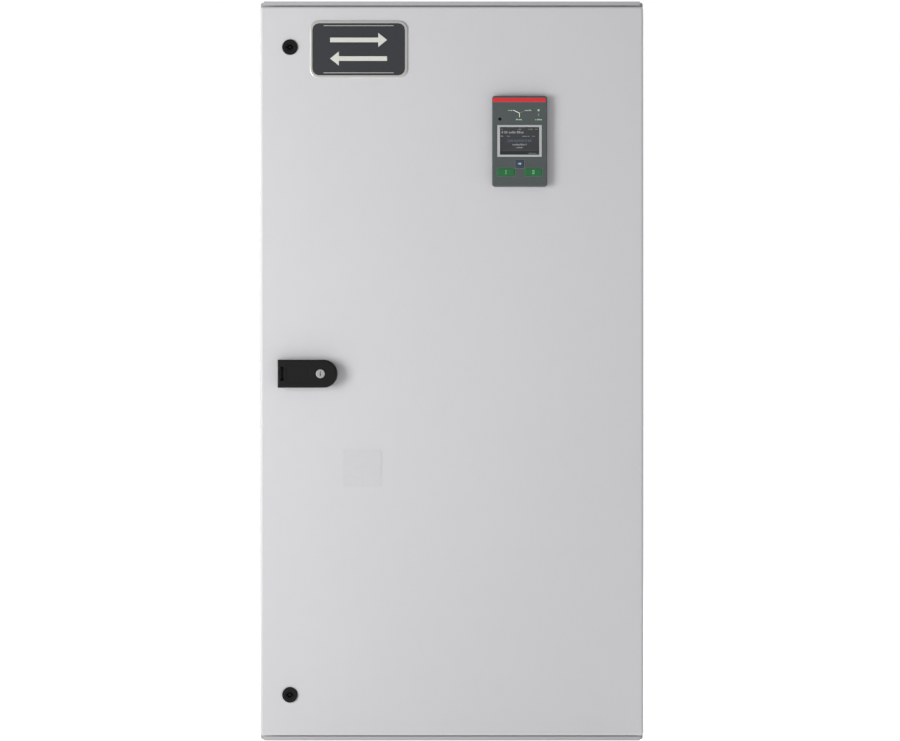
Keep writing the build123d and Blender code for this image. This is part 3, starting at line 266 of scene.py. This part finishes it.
def galvanised(name, colour):
    """Hot-dipped sheet: crystal spangle in slightly different greys."""
    sheet = Finish(name, Metallic=1.0)
    crystals = 120.0
    crystal = sheet.node("ShaderNodeSeparateColor", None, {0: sheet.cells(crystals, output="Color")})
    rim = sheet.cells(crystals, "DISTANCE_TO_EDGE").between(0.0, 0.06)
    smear = sheet.noise(9.0, 4.0)
    sheet.surface(
        Base_Color=sheet.shade(colour, 0.78 + crystal * 0.2 + rim * 0.05 + smear * 0.05),
        Roughness=0.3 + crystal * 0.16 + smear * 0.1,
    )
    sheet.relief(crystal * 0.5 + rim * 0.5, 0.02 * MM, 0.5 * MM)
    return sheet.material


def foamed_rubber(name, colour):
    """A poured foam seal: open pore hollows darkened inside as painted shade, and a dull skin."""
    foam = Finish(name, Specular_IOR_Level=0.2)
    pores_and_shade = foam.cells(700.0).between(0.05, 0.5)
    lumps = foam.noise(90.0, 3.0)
    # The pore hollows are darker: painted shade inside them, while the same mask also sinks them in the bump.
    tone = 0.6 + pores_and_shade * 0.5 + lumps * 0.2
    foam.surface(Base_Color=foam.shade(colour, tone), Roughness=0.75 + lumps * 0.15)
    foam.relief(pores_and_shade * 0.7 + lumps * 0.6, 0.18 * MM, 0.8 * MM)
    return foam.material


def cable_sheath(name, colour):
    """Extruded cable jacket: a faint fine mottle and rubbed patches."""
    sheath = Finish(name, Specular_IOR_Level=0.35)
    drawn = sheath.noise(500.0, 2.0)
    rubbed = sheath.noise(60.0, 4.0).between(0.5, 0.75)
    sheath.surface(
        Base_Color=sheath.shade(colour, 0.85 + drawn * 0.3 + rubbed * 0.5),
        Roughness=0.42 + drawn * 0.12 + rubbed * 0.12,
    )
    sheath.relief(drawn, 0.04 * MM)
    return sheath.material


def display_glass(name, colour):
    """A smoked display window: smooth, with faint smears and dust."""
    glass = Finish(name, IOR=1.5, Coat_Roughness=0.06)
    smear = glass.noise(45.0, 3.0, (1.0, 1.0, 0.35)).between(0.4, 0.8)
    dust = glass.cells(900.0).between(0.0, 0.12)
    glow = glass.noise(18.0, 1.0)
    glass.surface(
        Base_Color=glass.mix((1 - dust) * 0.06, glass.shade(colour, 0.8 + glow * 0.4), (0.5, 0.5, 0.5)),
        Roughness=0.14 + smear * 0.14,
        Coat_Weight=0.5 - smear * 0.2,
    )
    glass.relief(smear, 0.004 * MM)
    return glass.material


def circuit_lacquer(name, colour):
    """Solder mask over copper tracks."""
    board = Finish(name, Specular_IOR_Level=0.5)
    quarter_turn = {0: board.place, 3: math.radians(90)}
    upright = board.node("ShaderNodeVectorRotate", {"rotation_type": "X_AXIS"}, quarter_turn)
    tracks = board.node(
        "ShaderNodeTexBrick",
        {"offset": 0.37, "squash": 0.6},
        {
            "Vector": upright,
            "Scale": 70.0,
            "Mortar Size": 0.02,
            "Color1": (0.0, 0.0, 0.0, 1.0),
            "Color2": (0.0, 0.0, 0.0, 1.0),
            "Mortar": (1.0, 1.0, 1.0, 1.0),
        },
        output="Fac",
    )
    weave = board.noise(600.0, 2.0)
    raised = tuple(c * 1.9 + 0.01 for c in colour)
    board.surface(
        Base_Color=board.mix(tracks, board.shade(colour, 0.85 + weave * 0.3), raised),
        Roughness=0.28 + weave * 0.14,
    )
    board.relief(tracks + weave * 0.2, 0.04 * MM, 0.3 * MM)
    return board.material


def printed(name, colour, roughness=0.4, glow=0.0):
    """Screen-printed ink: a slightly uneven, finely mottled film."""
    ink = Finish(name, Specular_IOR_Level=0.3)
    mottle = ink.noise(1500.0, 2.0)
    film = ink.noise(130.0, 3.0)
    shade = ink.shade(colour, 0.9 + mottle * 0.12 + film * 0.08)
    ink.surface(Base_Color=shade, Roughness=roughness + mottle * 0.12)
    if glow:
        ink.surface(Emission_Color=shade, Emission_Strength=glow)
    ink.relief(mottle, 0.01 * MM)
    return ink.material


SHEET_PAINT = {"roughness": 0.45, "grain": 800.0, "depth": 0.04 * MM, "wear": 0.12}
BLACK_PAINT = {"grain": 1500.0, "gloss": 0.12}
door_coat = powder_coat("door_coat", shown(180, 180, 182), worn=shown(198, 198, 199), **SHEET_PAINT)
# Painted shade: the body and gland plates take the door's paint made darker, standing in for the shade on the
# body's strips around the door.
shaded_body_coat = powder_coat("shaded_body_coat", shown(158, 158, 160), worn=shown(176, 176, 178), **SHEET_PAINT)
latch_coat = powder_coat(
    "latch_coat", shown(19, 19, 20), 0.5, depth=0.06 * MM, wear=0.3, worn=shown(48, 48, 50), **BLACK_PAINT
)
pin_black = powder_coat(
    "pin_black", shown(14, 14, 15), 0.4, depth=0.02 * MM, wear=0.2, worn=shown(40, 40, 42), **BLACK_PAINT
)
mechanism_coat = powder_coat("mechanism_coat", shown(92, 96, 101), 0.4, 900.0, 0.05 * MM, 0.35)
motor_coat = powder_coat("motor_coat", shown(58, 60, 64), 0.3, 700.0, 0.04 * MM, 0.3)
ROLLED_UPRIGHT = (10.0, 10.0, 1.0)
ROLLED_ACROSS = (1.0, 10.0, 10.0)
TURNED_ACROSS = (1.0, 12.0, 12.0)
zinc = rolled_metal("zinc_plate", (0.44, 0.45, 0.44), 0.6, tarnish=(0.37, 0.36, 0.33))
spangled = galvanised("spangled_sheet", (0.62, 0.64, 0.65))
machined = rolled_metal("machined_steel", (0.5, 0.49, 0.47), 0.26, TURNED_ACROSS, 180.0)
tinned = rolled_metal("tinned_copper", (0.76, 0.74, 0.71), 0.28, ROLLED_UPRIGHT, 160.0, (0.6, 0.5, 0.4))
bare_copper = rolled_metal("bare_copper", (0.78, 0.42, 0.26), 0.3, ROLLED_ACROSS, 160.0, (0.42, 0.2, 0.12))
BRUSHED_KEY = {"along": (1.0, 1.0, 6.0), "scale": 500.0, "tarnish": (0.3, 0.3, 0.3), "wear": 0.5}
BRUSHED_RIM = {"along": (1.0, 1.0, 10.0), "scale": 300.0, "tarnish": (0.5, 0.48, 0.44), "wear": 0.5}
key_metal = rolled_metal("key_metal", (0.38, 0.38, 0.38), 0.45, **BRUSHED_KEY)
rim_metal = rolled_metal("rim_metal", (0.6, 0.59, 0.57), 0.42, **BRUSHED_RIM)
panel_shell = moulded("panel_shell", shown(67, 72, 73), 0.5, 1500.0)
bezel_shell = moulded("bezel_shell", shown(158, 160, 162), 0.42, 2000.0, 0.02 * MM)
green_cap = moulded("green_cap", shown(31, 92, 52), 0.42, 2200.0, 0.02 * MM)
blue_cap = moulded("blue_cap", shown(50, 58, 70), 0.42, 2200.0, 0.02 * MM)
pole_shell = moulded("pole_shell", shown(62, 63, 66), 0.55, 1100.0, 0.06 * MM)
chute_fibre = moulded("chute_fibre", shown(150, 96, 62), 0.7, 600.0, 0.1 * MM)
grip_shell = moulded("grip_shell", shown(176, 30, 28), 0.35, 1500.0)
indicator_shell = moulded("indicator_shell", shown(222, 222, 220), 0.4, 1800.0)
terminal_shell = moulded("terminal_shell", shown(176, 176, 168), 0.5, 1500.0)
breaker_shell = moulded("breaker_shell", shown(212, 213, 212), 0.45, 1600.0)
toggle_shell = moulded("toggle_shell", shown(38, 38, 40), 0.4, 1600.0)
unit_shell = moulded("unit_shell", shown(134, 138, 142), 0.5, 1500.0)
pocket_shell = moulded("pocket_shell", shown(186, 186, 181), 0.5, 900.0, 0.06 * MM)
label_film = printed("label_film", shown(177, 177, 179), 0.5)
seal_foam = foamed_rubber("seal_foam", (0.05, 0.05, 0.052))
sheath = cable_sheath("cable_sheath", (0.025, 0.025, 0.027))
window = display_glass("window", shown(47, 48, 50))
lacquer = circuit_lacquer("circuit_lacquer", (0.02, 0.12, 0.055))
band_ink = printed("band_ink", shown(186, 39, 45), 0.35)
live_ink = printed("live_ink", shown(205, 210, 194), 0.4, 0.15)
idle_ink = printed("idle_ink", shown(108, 112, 112), 0.5)
legend_ink = printed("legend_ink", shown(150, 186, 150), 0.45)
screen_ink = printed("screen_ink", shown(122, 124, 124), 0.3, 0.05)
soft_ink = printed("soft_ink", shown(74, 86, 102), 0.3, 0.02)
footer_ink = printed("footer_ink", shown(38, 40, 42), 0.25)
glyph_ink = printed("glyph_ink", shown(112, 170, 126), 0.45)
outline_ink = printed("outline_ink", shown(58, 124, 76), 0.45)
arrow_ink = printed("arrow_ink", shown(150, 186, 196), 0.45)
field_ink = printed("field_ink", shown(40, 42, 46), 0.55)
badge_ink = printed("badge_ink", shown(186, 186, 180), 0.35)

FINISH_OF = {
    "enclosure_body": shaded_body_coat, "gland_plates": shaded_body_coat, "door_panel": door_coat,
    "mounting_plate": spangled, "switch_base": spangled, "door_stiffeners": spangled,
    "din_rail": zinc, "mounting_nuts": zinc, "door_nuts": zinc, "machine_screws": zinc,
    "hinge_frame_leaves": zinc, "hinge_door_knuckles": zinc, "hinge_pins": machined,
    "lock_cam_top": zinc, "lock_cam_bottom": zinc, "handle_cam": zinc, "lever_pin": pin_black,
    "lock_housings": latch_coat, "lock_insert_top": latch_coat, "lock_insert_bottom": latch_coat,
    "handle_base": latch_coat, "handle_hub": latch_coat, "handle_lever": latch_coat, "key_plug": key_metal,
    "door_gasket": seal_foam, "badge_plate": rim_metal, "blank_label": label_film,
    "document_pocket": pocket_shell, "hmi_housing": panel_shell, "hmi_rear_cover": panel_shell,
    "hmi_screen_bezel": bezel_shell, "hmi_screen": window, "hmi_circuit_board": lacquer,
    "button_source_1": green_cap, "button_source_2": green_cap, "button_menu": blue_cap,
    "pole_cases": pole_shell, "pole_covers": pole_shell, "phase_barriers": pole_shell,
    "arc_chutes": chute_fibre, "contact_blades": bare_copper, "ground_bar": bare_copper,
    "source_1_terminals": tinned, "source_2_terminals": tinned, "load_terminals": tinned,
    "manual_lever": machined, "manual_grip": grip_shell, "position_indicator": indicator_shell,
    "main_shaft": machined, "shaft_bearings": machined, "drive_gear": machined, "motor_pinion": machined,
    "drive_motor": motor_coat, "mechanism_case": mechanism_coat, "mechanism_cover": mechanism_coat,
    "terminal_blocks": terminal_shell, "control_breaker": breaker_shell, "breaker_toggle": toggle_shell,
    "control_unit": unit_shell, "panel_cable": sheath,
}
for node, material in FINISH_OF.items():
    for slot in NODES[node].material_slots:
        slot.material = material


# ---------------------------------------------------------------- piece making
WELD_DISTANCE = 0.001 * MM
PRINT_BLOCK_THICK = 0.06
ROUND_STEPS = 32


def finished(name, shape, body, material):
    """Turns a bmesh into a piece that rides on a body."""
    bmesh.ops.remove_doubles(shape, verts=shape.verts, dist=WELD_DISTANCE)
    bmesh.ops.recalc_face_normals(shape, faces=shape.faces)
    mesh = bpy.data.meshes.new(name)
    shape.to_mesh(mesh)
    shape.free()
    piece = bpy.data.objects.new(name, mesh)
    bpy.context.scene.collection.objects.link(piece)
    piece.data.materials.append(material)
    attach(piece, body)
    return piece


def bar(shape, x, z, front, wide, tall, thick, turn=0.0, corner=0.2):
    """Adds a flat bar with rounded ends, standing on a front plane: millimetres, and its turn in degrees."""
    place = Matrix.Translation((x * MM, (front - thick / 2) * MM, z * MM))
    turning = Matrix.Rotation(math.radians(-turn), 4, "Y")
    sizing = Matrix.Diagonal((wide * MM, thick * MM, tall * MM, 1))
    made = bmesh.ops.create_cube(shape, size=1.0, matrix=place @ turning @ sizing)
    across = [
        edge
        for edge in {edge for vert in made["verts"] for edge in vert.link_edges}
        if abs((edge.verts[0].co - edge.verts[1].co).y) > thick * MM * 0.9
    ]
    bmesh.ops.bevel(
        shape,
        geom=across,
        offset=min(corner, wide / 2.2, tall / 2.2) * MM,
        offset_type="OFFSET",
        affect="EDGES",
        segments=3,
        profile=0.5,
        material=-1,
    )


def stroke(shape, start, end, front, wide, thick):
    """Adds a bar from one point to another."""
    run = Vector(end) - Vector(start)
    middle = (Vector(start) + Vector(end)) / 2
    turn = math.degrees(math.atan2(run.y, run.x))
    bar(shape, middle.x, middle.y, front, run.length + wide, wide, thick, turn, 0.6)


def words(shape, x, z, front, wide, tall, seed):
    """Adds a row of unequal blocks that stands for a line of small print."""
    chance = random.Random(seed)
    at = x - wide / 2
    while at < x + wide / 2 - tall * 0.3:
        block_wide = tall * chance.uniform(0.45, 0.75)
        block_tall = tall * chance.choice((0.68, 0.72, 1.0))
        sunk = (tall - block_tall) / 2
        bar(shape, at + block_wide / 2, z - sunk, front, block_wide, block_tall, PRINT_BLOCK_THICK, 0, 0.15)
        at += block_wide + tall * chance.choice((0.16, 0.16, 0.16, 0.6))


def arrow(shape, x, z, front, length, head, wide, thick):
    """Adds an arrow along X, raised by its thickness; a negative length points it left."""
    end, way = length / 2, math.copysign(1.0, length)
    neck = end - way * head * 0.62
    lower_half = [(-end, -wide / 2), (neck, -wide / 2), (neck, -head / 2)]
    outline = lower_half + [(end, 0)] + [(across, -up) for across, up in reversed(lower_half)]
    spots = [shape.verts.new(((x + across) * MM, front * MM, (z + up) * MM)) for across, up in outline]
    flat = shape.faces.new(spots)
    raised = bmesh.ops.extrude_face_region(shape, geom=[flat])["geom"]
    top = [item for item in raised if isinstance(item, bmesh.types.BMVert)]
    bmesh.ops.translate(shape, verts=top, vec=(0, -thick * MM, 0))
    rim = [item for item in raised if isinstance(item, bmesh.types.BMEdge)]
    bmesh.ops.bevel(
        shape,
        geom=rim,
        offset=thick * 0.4 * MM,
        offset_type="OFFSET",
        affect="EDGES",
        segments=2,
        profile=0.5,
        material=-1,
    )


def turned(shape, profile, foot, towards):
    """Adds a round piece from its (radius, along) profile, spun about an axis from its foot."""
    axis = Vector(towards).normalized()
    side = axis.orthogonal().normalized()
    foot = Vector(foot)
    spots = [shape.verts.new(foot + axis * along * MM + side * radius * MM) for radius, along in profile]
    runs = [shape.edges.new(pair) for pair in zip(spots, spots[1:])]
    bmesh.ops.spin(
        shape,
        geom=spots + runs,
        cent=foot,
        axis=axis,
        angle=math.tau,
        steps=ROUND_STEPS,
        use_merge=True,
        use_duplicate=False,
    )


# ---------------------------------------------------------------- operator panel print
panel_low, PANEL_HIGH, PANEL = (corner / MM for corner in corners_of("hmi_housing"))
PANEL_FACE = panel_low.y
BEZEL_MIDDLE = corners_of("hmi_screen_bezel")[2] / MM
SCREEN_FACE = (corners_of("hmi_screen")[0] / MM).y
KEY_LINE_WIDE, KEY_LINE_THICK = 0.5, 0.1

# Each group of small print on the diagram: across and up from the panel's middle, width and height.
DIAGRAM_WORDS = (
    (-15.6, 56.2, 10.5, 2.3),
    (15.0, 56.2, 10.5, 2.3),
    (-0.3, 39.4, 12.4, 2.5),
    (34.2, 39.4, 11.6, 2.5),
)
# Each row on the display: its first seed, how far up it is, its height, and its groups' places and widths.
DISPLAY_ROWS = (
    (11, 17.0, 4.2, ((-12.6, 40.0),)),
    (20, 9.8, 1.9, ((-32.0, 5.0), (-20.5, 5.5), (11.5, 13.0), (25.5, 5.0))),
    (30, 22.6, 1.5, ((-32.5, 3.0), (0.0, 6.5), (19.5, 8.0), (31.0, 4.0))),
    (41, -5.4, 3.0, ((0.0, 26.0),)),
    (42, -10.8, 2.6, ((0.4, 13.0),)),
    (43, -21.2, 1.5, ((23.0, 14.0),)),
)


def coloured_band():
    """The band across the head of the panel, with a painted highlight along its lower edge."""
    shape = bmesh.new()
    bar(shape, PANEL.x - 0.6, PANEL_HIGH.z - 7.4, PANEL_FACE, 96.6, 7.4, 0.35, 0, 1.4)
    finished("panel_band", shape, "door", band_ink)
    # A thin lighter strip under the band: a painted highlight on the band's lower edge.
    shape = bmesh.new()
    bar(shape, PANEL.x - 0.6, PANEL_HIGH.z - 11.5, PANEL_FACE, 95.0, 0.45, 0.3)
    finished("panel_band_painted_highlight", shape, "door", idle_ink)


def one_line_diagram():
    """Two supplies meeting at a load: the chosen one lit, the other dim, and a block of print beside each."""
    junction = (PANEL.x - 0.3, PANEL.z + 51.0)
    shape = bmesh.new()
    stroke(shape, (PANEL.x - 10.6, PANEL.z + 56.0), junction, PANEL_FACE, 1.1, 0.12)
    stroke(shape, junction, (junction[0], PANEL.z + 44.2), PANEL_FACE, 1.1, 0.16)
    finished("supply_line_lit", shape, "door", live_ink)
    shape = bmesh.new()
    short_of_junction = (junction[0] + 1.8, junction[1] + 0.5)
    stroke(shape, (PANEL.x + 9.4, PANEL.z + 55.8), short_of_junction, PANEL_FACE, 0.8, 0.1)
    stroke(shape, (PANEL.x + 34.4, PANEL.z + 49.4), (PANEL.x + 34.4, PANEL.z + 46.4), PANEL_FACE, 2.2, 0.1)
    finished("supply_line_dim", shape, "door", idle_ink)
    shape = bmesh.new()
    for seed, (across, up, wide, tall) in enumerate(DIAGRAM_WORDS, start=1):
        words(shape, PANEL.x + across, PANEL.z + up, PANEL_FACE, wide, tall, seed)
    bar(shape, PANEL.x + 34.4, PANEL.z + 56.2, PANEL_FACE, 3.4, 3.4, 0.1, 0, 0.5)
    finished("diagram_print", shape, "door", legend_ink)


def display_page():
    """The rows shown on the display: a heading, short readings, a marked row and a footer."""
    x, z, face = BEZEL_MIDDLE.x, BEZEL_MIDDLE.z - 1.2, SCREEN_FACE
    shape = bmesh.new()
    for seed, up, tall, groups in DISPLAY_ROWS:
        for step, (across, wide) in enumerate(groups):
            words(shape, x + across, z + up, face, wide, tall, seed + step)
    finished("display_rows", shape, "door", screen_ink)
    shape = bmesh.new()
    words(shape, x, z + 1.6, face, 43.0, 2.8, 44)
    for up, wide in ((3.9, 46.0), (-0.7, 46.0), (-15.8, 66.0)):
        bar(shape, x, z + up, face, wide, 0.3, 0.05)
    finished("display_marked_row", shape, "door", soft_ink)
    shape = bmesh.new()
    bar(shape, x, z - 20.4, face, 68.0, 5.6, 0.03)
    finished("display_footer", shape, "door", footer_ink)


def frame_line(shape, middle, wide, tall):
    """Adds a thin rectangular line on the panel's face around a point."""
    line, thick = KEY_LINE_WIDE, KEY_LINE_THICK
    inner = wide - 2.2 * line
    for side in (-1, 1):
        bar(shape, middle.x + side * (wide - line) / 2, middle.z, PANEL_FACE, line, tall, thick, 0, 0.1)
        bar(shape, middle.x, middle.z + side * (tall - line) / 2, PANEL_FACE, inner, line, thick, 0, 0.1)


def key_marks():
    """One stroke and two strokes on the supply keys, an arrow on the square key, and a line round each."""
    shape = bmesh.new()
    for name in ("button_source_1", "button_source_2"):
        frame_line(shape, corners_of(name)[2] / MM, 33.6, 15.0)
    finished("supply_key_outlines", shape, "door", outline_ink)
    supply_keys = (
        ("button_source_1", "source_1_key", (0.0,)),
        ("button_source_2", "source_2_key", (-1.0, 1.0)),
    )
    for name, body, offsets in supply_keys:
        low, _, middle = (corner / MM for corner in corners_of(name))
        shape = bmesh.new()
        for offset in offsets:
            bar(shape, middle.x + offset, middle.z, low.y, 1.0, 5.4, 0.08, 0, 0.15)
        for end in (-3.1, 3.1):
            bar(shape, middle.x, middle.z + end, low.y, 2.4 + 2 * offsets[-1], 0.8, 0.12, 0, 0.15)
        finished(f"{body}_mark", shape, body, glyph_ink)
    low, _, middle = (corner / MM for corner in corners_of("button_menu"))
    shape = bmesh.new()
    frame_line(shape, middle, 17.1, 17.1)
    finished("menu_key_outline", shape, "door", idle_ink)
    shape = bmesh.new()
    arrow(shape, middle.x, middle.z, low.y, 6.4, 5.0, 1.3, 0.08)
    finished("menu_key_mark", shape, "menu_key", arrow_ink)


coloured_band()
one_line_diagram()
display_page()
key_marks()


# ---------------------------------------------------------------- name badge
def name_badge():
    """A dark field inside a metal rim, with two opposed arrows instead of a name."""
    low, high, middle = (corner / MM for corner in corners_of("badge_plate"))
    wide, tall = high.x - low.x, high.z - low.z
    rim, field_thick = 9, 0.5
    shape = bmesh.new()
    bar(shape, middle.x, middle.z, low.y, wide - rim, tall - rim, field_thick, 0, 12)
    finished("badge_field", shape, "door", field_ink)
    face = low.y - field_thick
    shape = bmesh.new()
    for side in (-1, 1):
        arrow(shape, middle.x, middle.z + side * 17, face, 104 * side, 26, 8.5, 1.0)
    finished("badge_arrows", shape, "door", badge_ink)
    shape = bmesh.new()
    for side in (-1, 1):
        bar(shape, middle.x, middle.z + side * (tall / 2 - 9), face, wide - 50, 1.2, 0.3, 0, 0.5)
    finished("badge_lines", shape, "door", rim_metal)


name_badge()


# ---------------------------------------------------------------- inside marks
def throw_plate():
    """The plate beside the manual lever, with marks for the first supply, off and the second."""
    low, _, middle = (corner / MM for corner in corners_of("mechanism_cover"))
    at, plate_thick = low.x + 14, 0.4
    shape = bmesh.new()
    bar(shape, at, middle.z, low.y, 15, 210, plate_thick, 0, 2)
    finished("throw_plate", shape, "enclosure", rim_metal)
    shape = bmesh.new()
    face = low.y - plate_thick
    bar(shape, at, middle.z + 85, face, 1.6, 12, 0.1)
    for offset in (-2.2, 2.2):
        bar(shape, at + offset, middle.z - 85, face, 1.6, 12, 0.1)
    ring = [(6.0, 0), (6.0, 0.1), (4.3, 0.1), (4.3, 0)]
    turned(shape, ring, (at * MM, face * MM, middle.z * MM), FORWARD)
    for step in (-60, -40, -20, 20, 40, 60):
        bar(shape, at, middle.z + step, face, 6, 1.0, 0.1)
    finished("throw_marks", shape, "enclosure", field_ink)


def marking_strips():
    """Marking strips on the terminals, the breaker and the control unit, and the unit's lamps and print."""
    strip_thick = 0.3
    shape = bmesh.new()
    height = 6.0
    for node, rows in (("terminal_blocks", (0.0,)), ("control_breaker", (16.0, -16.0))):
        low, high, middle = (corner / MM for corner in corners_of(node))
        for row in rows:
            bar(shape, middle.x, middle.z + row, low.y, high.x - low.x - 3, height, strip_thick, 0, 0.6)
    low, _, middle = (corner / MM for corner in corners_of("control_unit"))
    bar(shape, middle.x - 30, middle.z, low.y, 60, 40, strip_thick, 0, 2)
    finished("marking_strips", shape, "enclosure", badge_ink)
    shape = bmesh.new()
    dome = [(0.0, 1.6), (1.2, 1.4), (1.9, 0.6), (1.9, 0.0)]
    for step in range(4):
        foot = ((middle.x + 22 + 10 * step) * MM, low.y * MM, (middle.z + 12) * MM)
        turned(shape, dome, foot, FORWARD)
    finished("control_unit_lamps", shape, "enclosure", glyph_ink)
    shape = bmesh.new()
    for seed, across, up, wide, tall in ((51, -30, 10, 46, 4), (52, -34, 0, 36, 3), (53, -32, -9, 40, 3)):
        words(shape, middle.x + across, middle.z + up, low.y - strip_thick, wide, tall, seed)
    finished("control_unit_print", shape, "enclosure", field_ink)


throw_plate()
marking_strips()

# ---------------------------------------------------------------- operator cable
CABLE_R = 3.0 * MM
# The route's control points, in millimetres: across, out from the wall, up.
CABLE_ROUTE = [
    (123.5, 285, 343.4), (123.5, 285, 322), (132, 287, 298), (152, 289, 279), (190, 291, 267),
    (238, 290, 264), (280, 288, 255), (304, 276, 236), (313, 250, 212), (313, 215, 190),
    (308, 174, 174), (298, 132, 164), (280, 96, 160), (252, 70, 161), (222, 57, 170),
    (204, 53.5, 182), (204, 53.5, 199.9),
]


def operator_cable():
    """The cable from the operator panel past the hinges to the control unit."""
    line = bpy.data.curves.new("cable_line", "CURVE")
    line.dimensions = "3D"
    line.resolution_u = 12
    spline = line.splines.new("NURBS")
    spline.points.add(len(CABLE_ROUTE) - 1)
    for point, (x, depth, z) in zip(spline.points, CABLE_ROUTE):
        point.co = (x * MM, -depth * MM, z * MM, 1.0)
    spline.order_u = 3
    spline.use_endpoint_u = True
    laid = bpy.data.objects.new("cable_line", line)
    bpy.context.scene.collection.objects.link(laid)
    bpy.context.view_layer.update()
    path_mesh = bpy.data.meshes.new_from_object(laid.evaluated_get(bpy.context.evaluated_depsgraph_get()))
    line.bevel_depth = CABLE_R
    line.bevel_resolution = 5
    line.use_fill_caps = True
    bpy.context.view_layer.update()
    tube = bpy.data.meshes.new_from_object(laid.evaluated_get(bpy.context.evaluated_depsgraph_get()))
    bpy.data.objects.remove(laid)
    bpy.data.meshes.remove(path_mesh)
    shape = bmesh.new()
    shape.from_mesh(tube)
    bmesh.ops.remove_doubles(shape, verts=shape.verts, dist=0.01 * MM)
    bmesh.ops.recalc_face_normals(shape, faces=shape.faces)
    for face in shape.faces:
        face.smooth = True
    shape.to_mesh(tube)
    shape.free()
    tube.materials.clear()
    tube.materials.append(sheath)
    cable = bpy.data.objects.new("operator_cable", tube)
    bpy.context.scene.collection.objects.link(cable)
    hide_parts("panel_cable")
    return cable


def cable_boots():
    """Ribbed, tapered sleeves where the cable leaves the panel and enters the control unit."""
    profile = [(3.2, 22.0), (4.0, 22.0)]
    for rib in range(5):
        base = 19.5 - 3.6 * rib
        profile += [(4.2 + 0.35 * rib, base), (3.7 + 0.4 * rib, base - 0.8), (3.8 + 0.4 * rib, base - 1.6)]
    profile += [(6.2, 2.4), (7.0, 1.6), (7.0, 0.0), (3.2, 0.0)]
    for name, body, (x, depth, z) in (
        ("panel_cable_boot", "door", CABLE_ROUTE[0]),
        ("unit_cable_boot", "enclosure", CABLE_ROUTE[-1]),
    ):
        shape = bmesh.new()
        turned(shape, profile, (x * MM, -depth * MM, z * MM), DOWN)
        boot = finished(name, shape, body, sheath)
        for face in boot.data.polygons:
            face.use_smooth = True


cable = operator_cable()
cable_boots()
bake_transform(cable)


# ---------------------------------------------------------------- studio
FLOOR_DROP = 4 * MM
FLOOR_HALF_WIDTH = 30.0
BACKDROP_STRENGTH = 1.0
AMBIENT_STRENGTH = 0.36


def studio_floor():
    """A wide pale floor under the cabinet."""
    shape = bmesh.new()
    place = Matrix.Translation((0, 0, CAD_BOX[0][2] - FLOOR_DROP))
    bmesh.ops.create_grid(shape, x_segments=1, y_segments=1, size=FLOOR_HALF_WIDTH, matrix=place)
    mesh = bpy.data.meshes.new("floor")
    shape.to_mesh(mesh)
    shape.free()
    floor = bpy.data.objects.new("floor", mesh)
    bpy.context.scene.collection.objects.link(floor)
    pale = Finish("pale_floor", Roughness=0.9, Specular_IOR_Level=0.0)
    pale.surface(Base_Color=(0.5, 0.5, 0.5), Emission_Color=(1.0, 1.0, 1.0), Emission_Strength=0.84)
    floor.data.materials.append(pale.material)


def soft_light(name, spot, target, wide, tall, power):
    """A rectangular lamp at a spot, facing a target."""
    lamp = bpy.data.lights.new(name, "AREA")
    lamp.shape = "RECTANGLE"
    lamp.size, lamp.size_y, lamp.energy = wide, tall, power
    holder = bpy.data.objects.new(name, lamp)
    holder.location = spot
    holder.rotation_euler = (Vector(target) - Vector(spot)).to_track_quat("-Z", "Y").to_euler()
    bpy.context.scene.collection.objects.link(holder)


def surroundings():
    """An even white surround, dimmer as a light than as a backdrop."""
    world = bpy.data.worlds.new("surround")
    bpy.context.scene.world = world
    world.use_nodes = True
    tree = world.node_tree
    backdrop = tree.nodes["Background"]
    backdrop.inputs["Color"].default_value = (1, 1, 1, 1)
    backdrop.inputs["Strength"].default_value = BACKDROP_STRENGTH
    light = tree.nodes.new("ShaderNodeBackground")
    light.inputs["Color"].default_value = (1, 1, 1, 1)
    light.inputs["Strength"].default_value = AMBIENT_STRENGTH
    seen = tree.nodes.new("ShaderNodeLightPath")
    choose = tree.nodes.new("ShaderNodeMixShader")
    tree.links.new(seen.outputs["Is Camera Ray"], choose.inputs[0])
    tree.links.new(light.outputs[0], choose.inputs[1])
    tree.links.new(backdrop.outputs[0], choose.inputs[2])
    tree.links.new(choose.outputs[0], tree.nodes["World Output"].inputs["Surface"])


studio_floor()
soft_light("key_light", (-2.2, -2.1, -0.4), (0, -0.3, 0), 1.2, 2.6, 129.0)
soft_light("back_light_right", (2.4, 1.9, 1.9), (0, -0.1, 0.1), 2.2, 2.2, 95.0)
soft_light("back_light_left", (-2.4, 2.1, 1.2), (0, -0.1, 0), 2.0, 2.0, 55.0)
surroundings()
